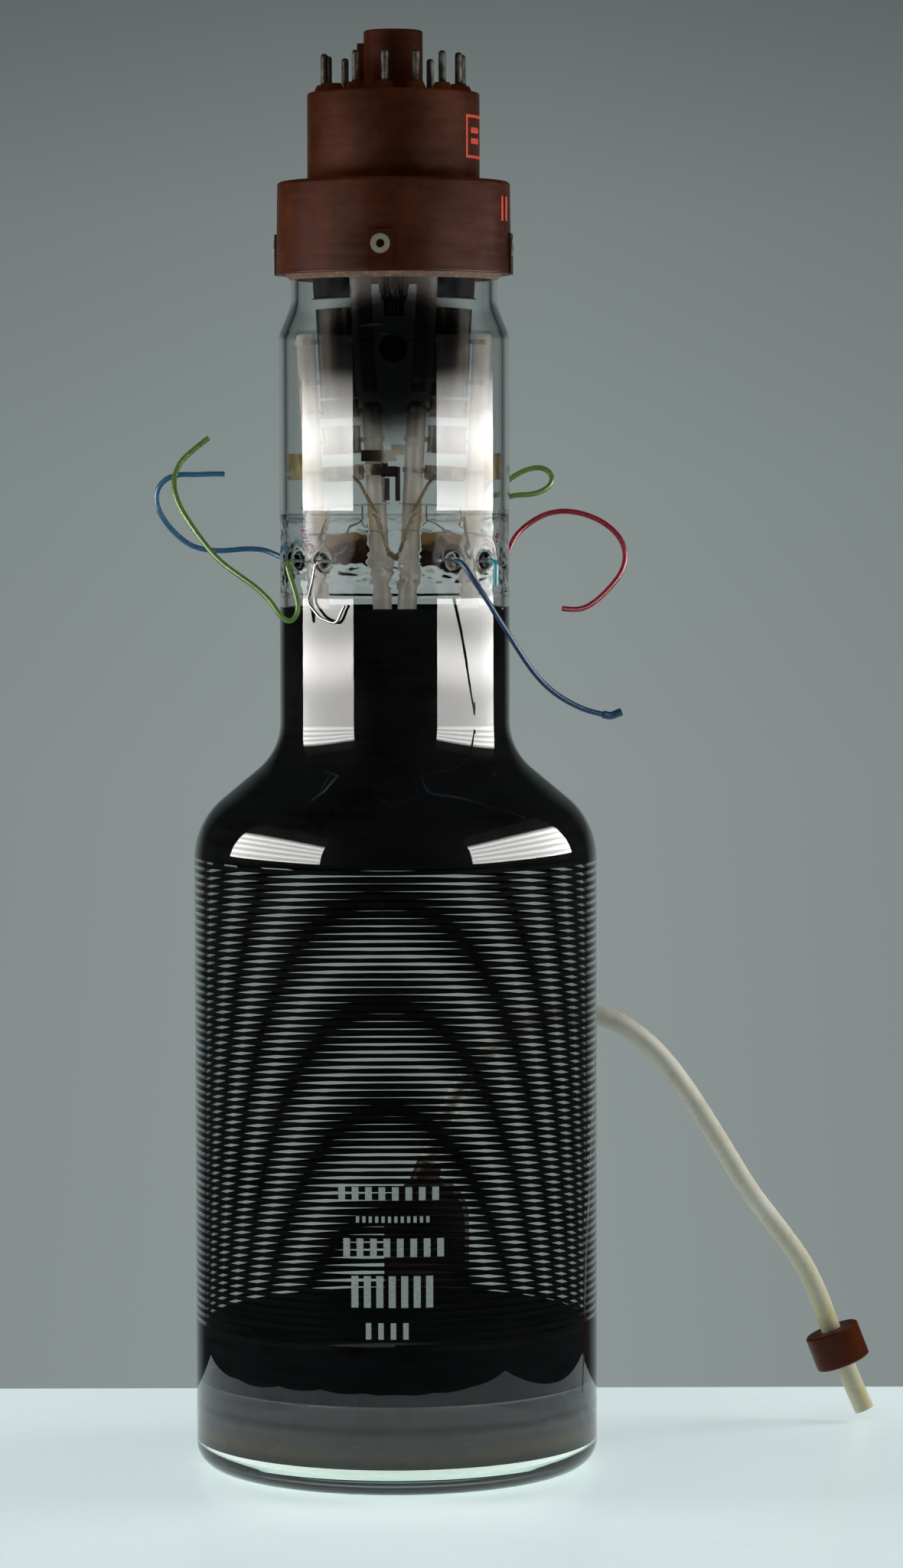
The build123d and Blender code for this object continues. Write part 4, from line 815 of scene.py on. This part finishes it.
# ------------------------------------------------------------------ leads
LEADS = {
    "green_left_lead": ("green_pvc", GREEN, 0.1041, (
        (-32.291, -21.781, 293.5), (-34.1, -23.0, 292.8), (-33.2, -23.9, 289.2), (-31.6, -25.2, 284.4),
        (-30.4, -26.3, 280.0), (-30.6, -26.9, 276.8), (-32.2, -27.2, 274.6), (-34.4, -27.3, 274.6),
        (-36.6, -27.0, 276.8), (-39.2, -26.0, 280.8), (-43.6, -24.4, 285.0), (-49.4, -22.4, 289.0),
        (-55.4, -20.0, 293.2), (-60.6, -17.4, 299.0), (-65.2, -15.0, 305.4), (-69.2, -12.2, 311.6),
        (-71.0, -9.6, 318.4), (-69.2, -7.2, 324.6), (-64.6, -5.6, 329.0), (-59.6, -4.6, 332.8),
    )),
    "light_blue_lead": ("light_blue_pvc", LIGHT_BLUE, 0.0825, (
        (-33.532, 19.36, 293.5), (-35.94, 20.75, 293.5), (-39.3, 22.9, 295.0), (-43.2, 23.8, 296.6),
        (-49.0, 22.6, 296.9), (-55.4, 20.8, 296.2), (-61.2, 18.8, 296.4), (-66.4, 17.0, 297.8),
        (-70.6, 15.4, 301.0), (-74.4, 13.8, 305.2), (-77.2, 12.6, 310.2), (-77.6, 11.9, 315.4),
        (-75.0, 11.6, 319.4), (-70.4, 11.9, 321.2), (-64.8, 12.6, 321.0), (-59.6, 13.4, 321.3),
        (-55.4, 14.0, 321.2),
    )),
    "green_right_lead": ("green_pvc", GREEN, 0.0703, (
        (19.36, 33.532, 293.5), (21.15, 36.633, 293.5), (23.2, 37.8, 297.8), (26.2, 38.0, 303.0),
        (29.6, 37.3, 308.2), (34.0, 36.4, 312.6), (39.4, 36.0, 314.2), (44.8, 36.2, 314.2),
        (49.4, 36.8, 315.8), (51.8, 37.6, 318.6), (51.0, 38.3, 321.6), (48.2, 38.9, 323.2),
        (44.4, 39.2, 322.9), (40.2, 39.2, 321.2), (35.8, 38.8, 318.0), (32.2, 38.2, 315.4),
    )),
    "red_lead": ("red_pvc", RED, 0.0880, (
        (33.532, 19.36, 293.5), (36.027, 20.8, 293.5), (37.4, 22.6, 297.2), (39.4, 24.6, 301.0),
        (43.2, 26.0, 304.6), (48.6, 26.0, 307.8), (54.0, 25.2, 309.0), (59.2, 24.0, 308.6),
        (64.0, 22.8, 307.2), (68.4, 21.7, 305.0), (72.2, 20.7, 301.8), (74.8, 19.8, 297.6),
        (75.2, 18.9, 292.8), (73.6, 18.0, 288.4), (70.4, 17.0, 284.4), (66.4, 16.0, 280.4),
        (62.0, 14.8, 277.4), (57.8, 13.8, 276.8), (54.4, 13.0, 277.3),
    )),
    "dark_blue_lead": ("dark_blue_pvc", DARK_BLUE, 0.0722, (
        (19.942, -33.19, 293.5), (21.683, -36.087, 293.5), (24.8, -37.4, 288.2), (28.9, -37.6, 282.4),
        (32.6, -36.6, 276.2), (36.4, -35.6, 270.4), (39.7, -34.6, 265.0), (43.5, -33.5, 259.3),
        (47.8, -32.5, 254.2), (52.7, -31.5, 250.3), (57.9, -30.5, 247.4), (62.4, -29.8, 245.6),
        (66.4, -29.2, 244.7),
    )),
}
set_material("dark_blue_lead_cap", DARK_BLUE)
for name, (slot, material, length, route) in LEADS.items():
    cord = curve_piece(f"{name}_sleeve", route, 1.7, material, name)
set_material("bare_wire", WIRE)
set_material("cut_lead_stub", CYAN)

# ------------------------------------------------------------------ high-voltage lead
HV_ROUTE = (
    (11.0, 72.0, 89.0), (14.6, 72.3, 100.4), (20.8, 72.5, 112.6), (30.4, 72.5, 125.6),
    (44.2, 72.3, 135.6), (57.2, 72.0, 139.6), (68.6, 71.6, 138.8), (79.0, 71.0, 133.8),
    (88.4, 70.4, 125.4), (97.2, 70.1, 113.8), (107.8, 70.0, 97.0), (118.4, 70.3, 79.0),
    (128.6, 70.8, 66.0), (137.0, 71.3, 54.4), (142.2, 71.6, 43.4), (145.6, 71.8, 33.8),
    (149.3, 71.9, 24.2), (153.5, 72.0, 14.0), (157.9, 72.0, 4.0),
)


def hv_material():
    """Aged white sleeve: handled smudges all along it, yellow above the collar."""
    paint = Paint("white_pvc", (0.6, 0.58, 0.5), 0.5, Specular_IOR_Level=0.22)
    cloud = paint.noise(45, 5, 0.65)
    spots = paint.noise(300, 2, 0.5)
    base = paint.ramp(
        cloud,
        [(0.3, (0.52, 0.49, 0.38)), (0.5, (0.66, 0.635, 0.53)), (0.75, (0.73, 0.715, 0.63))],
    )
    dirt = paint.ramp(spots, [(0.28, (0.16, 0.13, 0.09)), (0.38, (1, 1, 1))])
    color = paint.mix(0.16, base, paint.mix(1.0, base, dirt, "MULTIPLY"))
    height = paint.axis(2)
    low = paint.span(height, 0.072, 0.040)
    yellow = paint.math("MULTIPLY", low, paint.span(cloud, 0.35, 0.6), clamp=True)
    color = paint.mix(paint.math("MULTIPLY", yellow, 0.75, clamp=True), color, (0.42, 0.36, 0.10))
    paint.color(color)
    paint.rough(paint.span(cloud, 0.3, 0.7, 0.48, 0.62))
    return paint.material


WHITE = hv_material()
hv = curve_piece("hv_lead_sleeve", HV_ROUTE, 6.7, WHITE, "hv_lead", sides=12)
COLLAR = phenolic()
set_material("hv_lead_collar", COLLAR)
BOOT = pvc("boot_brown", (0.055, 0.03, 0.017), 0.4, 0.4)
set_material("anode_boot", BOOT)
set_material("anode_contact", PIN)


# ------------------------------------------------------------------ prints
def wall_patches(name, radius, patches, material):
    """Thin patches of paint on a round wall: (azimuth, azimuth, low, high) each."""
    verts, faces = [], []
    for a0, a1, low, high in patches:
        columns = max(2, int(abs(a1 - a0)))
        rows = max(1, int((high - low) / 2))
        start = len(verts)
        for j in range(rows + 1):
            z = low + (high - low) * j / rows
            verts += [polar(radius, a0 + (a1 - a0) * k / columns, z) for k in range(columns + 1)]
        for j in range(rows):
            for k in range(columns):
                a = start + j * (columns + 1) + k
                faces.append((a, a + 1, a + columns + 2, a + columns + 1))
    return add_mesh(name, verts, faces, material, wound=True)


def print_material(name, color, wear, scale, thin, painted_glow=0.0):
    """Paint worn thin in specks; its emission is a painted glow that lifts a print seen at a grazing angle.
    """
    paint = Paint(name, color, 0.6, Emission_Strength=painted_glow, Emission_Color=(*color, 1))
    grain = paint.noise(scale, 4, 0.7)
    paint.color(paint.ramp(grain, [(0.35, tuple(0.6 * c for c in color)), (0.65, color)]))
    alpha = paint.ramp(grain, [(wear, (thin,) * 3), (wear + 0.08, (0.92,) * 3)])
    paint.link(alpha, paint.shader.inputs["Alpha"])
    paint.bump(grain, 0.00001)
    return paint.material


# Rows of plain white blocks on the front of the body, all alike in a row; no lettering.
# (bottom, top, left, right, width of a block, pitch)
BLOCK_ROWS = (
    (94.4, 98.6, -17.5, 12.0, 2.1, 4.2),
    (87.4, 89.4, -12.0, 11.0, 1.0, 2.0),
    (76.6, 82.4, -16.0, 15.4, 2.1, 4.2),
    (60.6, 70.6, -13.5, 10.2, 2.2, 3.9),
    (50.6, 55.8, -9.0, 4.4, 1.7, 3.9),
)


def on_wall(x, radius):
    return math.degrees(math.asin(x / radius))


wall_patches(
    "printed_blocks",
    BODY_R + 0.03,
    [
        (on_wall(left + k * pitch, BODY_R), on_wall(left + k * pitch + wide, BODY_R), low, high)
        for low, high, left, right, wide, pitch in BLOCK_ROWS
        for k in range(int((right - left - wide) / pitch + 0.5) + 1)
    ],
    print_material("white_print", (0.30, 0.345, 0.335), 0.30, 1600, 0.45, 0.22),
)
RED_PRINT = print_material("red_print", (0.55, 0.035, 0.012), 0.33, 900, 0.3, 0.55)
wall_patches(
    "red_frame",
    27.80,
    [
        (57.0, 59.2, 421.6, 435.4),
        (86.0, 90.0, 421.6, 435.4),
        (59.2, 86.0, 421.6, 422.5),
        (59.2, 86.0, 434.5, 435.4),
        (63.5, 78.0, 426.2, 428.0),
        (63.5, 78.0, 429.6, 431.4),
    ],
    RED_PRINT,
)
wall_patches("red_dashes", 37.76, [(66.0, 68.4, 401.6, 409.4), (71.5, 74.5, 401.6, 409.4)], RED_PRINT)


def sleeve_material():
    paint = Paint("striped_sleeve", (0.7, 0.6, 0.65), 0.4)
    stripe = paint.math("SINE", paint.math("MULTIPLY", paint.axis(2), 2 * math.pi / 0.0022))
    twist = paint.noise(250, 2, 0.5)
    paint.color(
        paint.ramp(
            paint.math("ADD", paint.math("MULTIPLY", stripe, 0.3), twist),
            [
                (0.2, (0.42, 0.14, 0.24)),
                (0.4, (0.75, 0.72, 0.74)),
                (0.6, (0.16, 0.18, 0.42)),
                (0.8, (0.7, 0.6, 0.66)),
            ],
        )
    )
    paint.bump(twist, 0.00003)
    return paint.material


curve_piece(
    "inner_sleeve",
    ((-28.6, -16.0, 304.5), (-28.0, -17.0, 301.8), (-26.8, -18.6, 298.8), (-25.0, -20.2, 296.2)),
    1.5,
    sleeve_material(),
)


# ------------------------------------------------------------------ stage, light and camera
def stage_plane(name, outline, z, material):
    """A flat panel with the given outline."""
    mesh = bpy.data.meshes.new(name)
    mesh.from_pydata([(p[0], p[1], z) for p in outline], [], [tuple(range(len(outline)))])
    mesh.materials.append(material)
    plane = bpy.data.objects.new(name, mesh)
    scene.collection.objects.link(plane)
    return plane


table_paint = Paint("table_top", (0.70, 0.79, 0.80), 0.12)
table_paint.rough(table_paint.span(table_paint.noise(12, 3, 0.5), 0.3, 0.7, 0.24, 0.34))
table_paint.shader.inputs["Emission Color"].default_value = (0.80, 0.95, 0.97, 1)
table_paint.shader.inputs["Emission Strength"].default_value = 0.425
# The lit part of the table, which the lower wall mirrors: (azimuth, distance) from the axis.
LIT_EDGE = (
    (-121, 270), (-90, 246), (-62, 254), (-38, 260), (-16, 258), (0, 256), (18, 258), (38, 264),
    (52, 276), (58, 288), (64, 272), (78, 246), (95, 236), (121, 270),
)
stage_plane(
    "table",
    [polar(distance, azimuth) * MM for azimuth, distance in LIT_EDGE],
    -0.0002,
    table_paint.material,
)
# The rest of the table, which no reflection in the glass shows. It ends not far behind the tube.
HALF, NEAR, FAR = 1.3, -1.6, 0.141
floor = stage_plane(
    "floor", [(-HALF, NEAR), (HALF, NEAR), (HALF, FAR), (-HALF, FAR)], -0.0003, table_paint.material
)
floor.visible_glossy = False
floor.visible_transmission = False

world = bpy.data.worlds.new("studio")
scene.world = world
world.use_nodes = True
tree = world.node_tree
background = tree.nodes["Background"]
coordinates = tree.nodes.new("ShaderNodeTexCoord")
split = tree.nodes.new("ShaderNodeSeparateXYZ")
tree.links.new(coordinates.outputs["Generated"], split.inputs[0])


def world_ramp(source, low, high, stops):
    span = tree.nodes.new("ShaderNodeMapRange")
    span.inputs["From Min"].default_value = low
    span.inputs["From Max"].default_value = high
    tree.links.new(source, span.inputs["Value"])
    ramp = tree.nodes.new("ShaderNodeValToRGB")
    while len(ramp.color_ramp.elements) < len(stops):
        ramp.color_ramp.elements.new(0.5)
    for element, (position, color) in zip(ramp.color_ramp.elements, stops):
        element.position = position
        element.color = (*color, 1)
    tree.links.new(span.outputs[0], ramp.inputs["Fac"])
    return ramp.outputs["Color"]


# The backdrop darkens upwards. Only the side behind the tube is lit: the rest of the room is dim.
backdrop = world_ramp(
    split.outputs["Z"],
    -0.2,
    0.12,
    [
        (0.0, (0.262, 0.304, 0.300)),
        (0.45, (0.258, 0.297, 0.292)),
        (0.62, (0.235, 0.275, 0.268)),
        (0.78, (0.19, 0.223, 0.219)),
        (0.9, (0.13, 0.155, 0.152)),
        (1.0, (0.09, 0.11, 0.108)),
    ],
)
room = world_ramp(
    split.outputs["Y"],
    -1.0,
    1.0,
    [(0.0, (0.020,) * 3), (0.6, (0.030,) * 3), (0.90, (0.07, 0.075, 0.075)), (0.975, (1, 1, 1))],
)


def world_product(a, b):
    product = tree.nodes.new("ShaderNodeMix")
    product.data_type, product.blend_type = "RGBA", "MULTIPLY"
    product.inputs[0].default_value = 1.0
    tree.links.new(a, product.inputs[6])
    tree.links.new(b, product.inputs[7])
    return product.outputs[2]


# Seen directly, the backdrop is a little darker towards the sides of the view.
sides = world_ramp(
    split.outputs["X"],
    -0.09,
    0.09,
    [(0.0, (0.90,) * 3), (0.35, (1, 1, 1)), (0.6, (1, 1, 1)), (1.0, (0.87,) * 3)],
)
path = tree.nodes.new("ShaderNodeLightPath")
view = tree.nodes.new("ShaderNodeMix")
view.data_type = "RGBA"
tree.links.new(path.outputs["Is Camera Ray"], view.inputs[0])
tree.links.new(world_product(backdrop, room), view.inputs[6])
tree.links.new(world_product(backdrop, sides), view.inputs[7])
tree.links.new(view.outputs[2], background.inputs["Color"])
background.inputs["Strength"].default_value = 1.0


SOFTBOX_Z = (224, 440)
SOFTBOX_STRENGTH = 13.0
RIPPLE, RIPPLE_LENGTH = 0.28, 109 / 4  # share of the strength, and its wavelength up the panel
SOFTBOX_FADE = ((341, 1.0), (361, 0.008), (440, 0.005))  # height, share of the strength


def softbox(name, start, end):
    """An upright panel beside the neck, between two points of the plan. It fades out upwards, so
    that the neck mirrors it only below the getter flash."""
    low, high = SOFTBOX_Z
    paint = bpy.data.materials.new(name)
    paint.use_nodes = True
    nodes = paint.node_tree.nodes
    nodes.remove(nodes["Principled BSDF"])
    emission = nodes.new("ShaderNodeEmission")
    geometry = nodes.new("ShaderNodeTexCoord")
    axis = nodes.new("ShaderNodeSeparateXYZ")
    wave = nodes.new("ShaderNodeMath")
    wave.operation = "SINE"
    scale = nodes.new("ShaderNodeMath")
    scale.operation = "MULTIPLY"
    scale.inputs[1].default_value = 2 * math.pi / (RIPPLE_LENGTH * MM)
    gain = nodes.new("ShaderNodeMapRange")
    gain.inputs["From Min"].default_value = -1
    gain.inputs["From Max"].default_value = 1
    gain.inputs["To Min"].default_value = SOFTBOX_STRENGTH * (1 - RIPPLE)
    gain.inputs["To Max"].default_value = SOFTBOX_STRENGTH * (1 + RIPPLE)
    links = paint.node_tree.links
    links.new(geometry.outputs["Object"], axis.inputs[0])
    links.new(axis.outputs["Z"], scale.inputs[0])
    links.new(scale.outputs[0], wave.inputs[0])
    links.new(wave.outputs[0], gain.inputs["Value"])
    fade = nodes.new("ShaderNodeValToRGB")
    reach = nodes.new("ShaderNodeMapRange")
    reach.inputs["From Min"].default_value = low * MM
    reach.inputs["From Max"].default_value = high * MM
    fade.color_ramp.interpolation = "EASE"
    fade.color_ramp.elements.new(0.7)
    for element, (z, value) in zip(fade.color_ramp.elements, SOFTBOX_FADE):
        element.position = (z - low) / (high - low)
        element.color = (value, value, value, 1)
    product = nodes.new("ShaderNodeMath")
    product.operation = "MULTIPLY"
    links.new(axis.outputs["Z"], reach.inputs["Value"])
    links.new(reach.outputs[0], fade.inputs["Fac"])
    links.new(gain.outputs[0], product.inputs[0])
    links.new(fade.outputs[0], product.inputs[1])
    links.new(product.outputs[0], emission.inputs["Strength"])
    emission.inputs["Color"].default_value = (1.0, 0.985, 0.955, 1)
    links.new(emission.outputs[0], nodes["Material Output"].inputs["Surface"])
    mesh = bpy.data.meshes.new(name)
    corners = [(*start, low), (*end, low), (*end, high), (*start, high)]
    mesh.from_pydata([Vector(c) * MM for c in corners], [], [(0, 1, 2, 3)])
    mesh.materials.append(paint)
    panel = bpy.data.objects.new(name, mesh)
    scene.collection.objects.link(panel)
    panel.visible_camera = False
    panel.visible_diffuse = False
    panel.visible_transmission = False


softbox("left_softbox", (-320, 52), (-210, -261))
softbox("right_softbox", (298, 119), (220, -253))


def area(name, location, target, size, power, color):
    data = bpy.data.lights.new(name, "AREA")
    data.shape = "RECTANGLE"
    data.size, data.size_y = size
    data.energy = power
    data.color = color
    light = bpy.data.objects.new(name, data)
    light.location = location
    light.rotation_mode = "QUATERNION"
    light.rotation_quaternion = (Vector(target) - Vector(location)).to_track_quat("-Z", "Y")
    scene.collection.objects.link(light)
    return light


WARM = (1.0, 0.98, 0.95)
for light in (
    area("overhead", (0.0, -0.5, 1.5), (0, 0, 0), (1.6, 1.2), 5.5, (0.93, 0.98, 1.0)),
    area("left_side", (-0.95, 0.12, 0.36), (0, 0, 0.30), (0.5, 0.6), 7.0, WARM),
    area("right_side", (0.95, 0.16, 0.36), (0, 0, 0.30), (0.5, 0.6), 7.0, WARM),
):
    light.visible_glossy = False
    light.visible_transmission = False

CAMERA_PITCH, CAMERA_ROLL = 3.30, 0.13  # degrees downwards, and clockwise
cam_data = bpy.data.cameras.new("camera")
cam_data.sensor_width = 36.0
cam_data.lens = 6878 * 36 / 2048
cam_data.clip_start, cam_data.clip_end = 0.05, 30
camera = bpy.data.objects.new("camera", cam_data)
camera.location = (0.0182, -1.7, 0.319)
camera.rotation_mode = "QUATERNION"
camera.rotation_quaternion = (
    Matrix.Rotation(math.radians(90 - CAMERA_PITCH), 3, "X")
    @ Matrix.Rotation(math.radians(-CAMERA_ROLL), 3, "Z")
).to_quaternion()
scene.collection.objects.link(camera)
scene.camera = camera
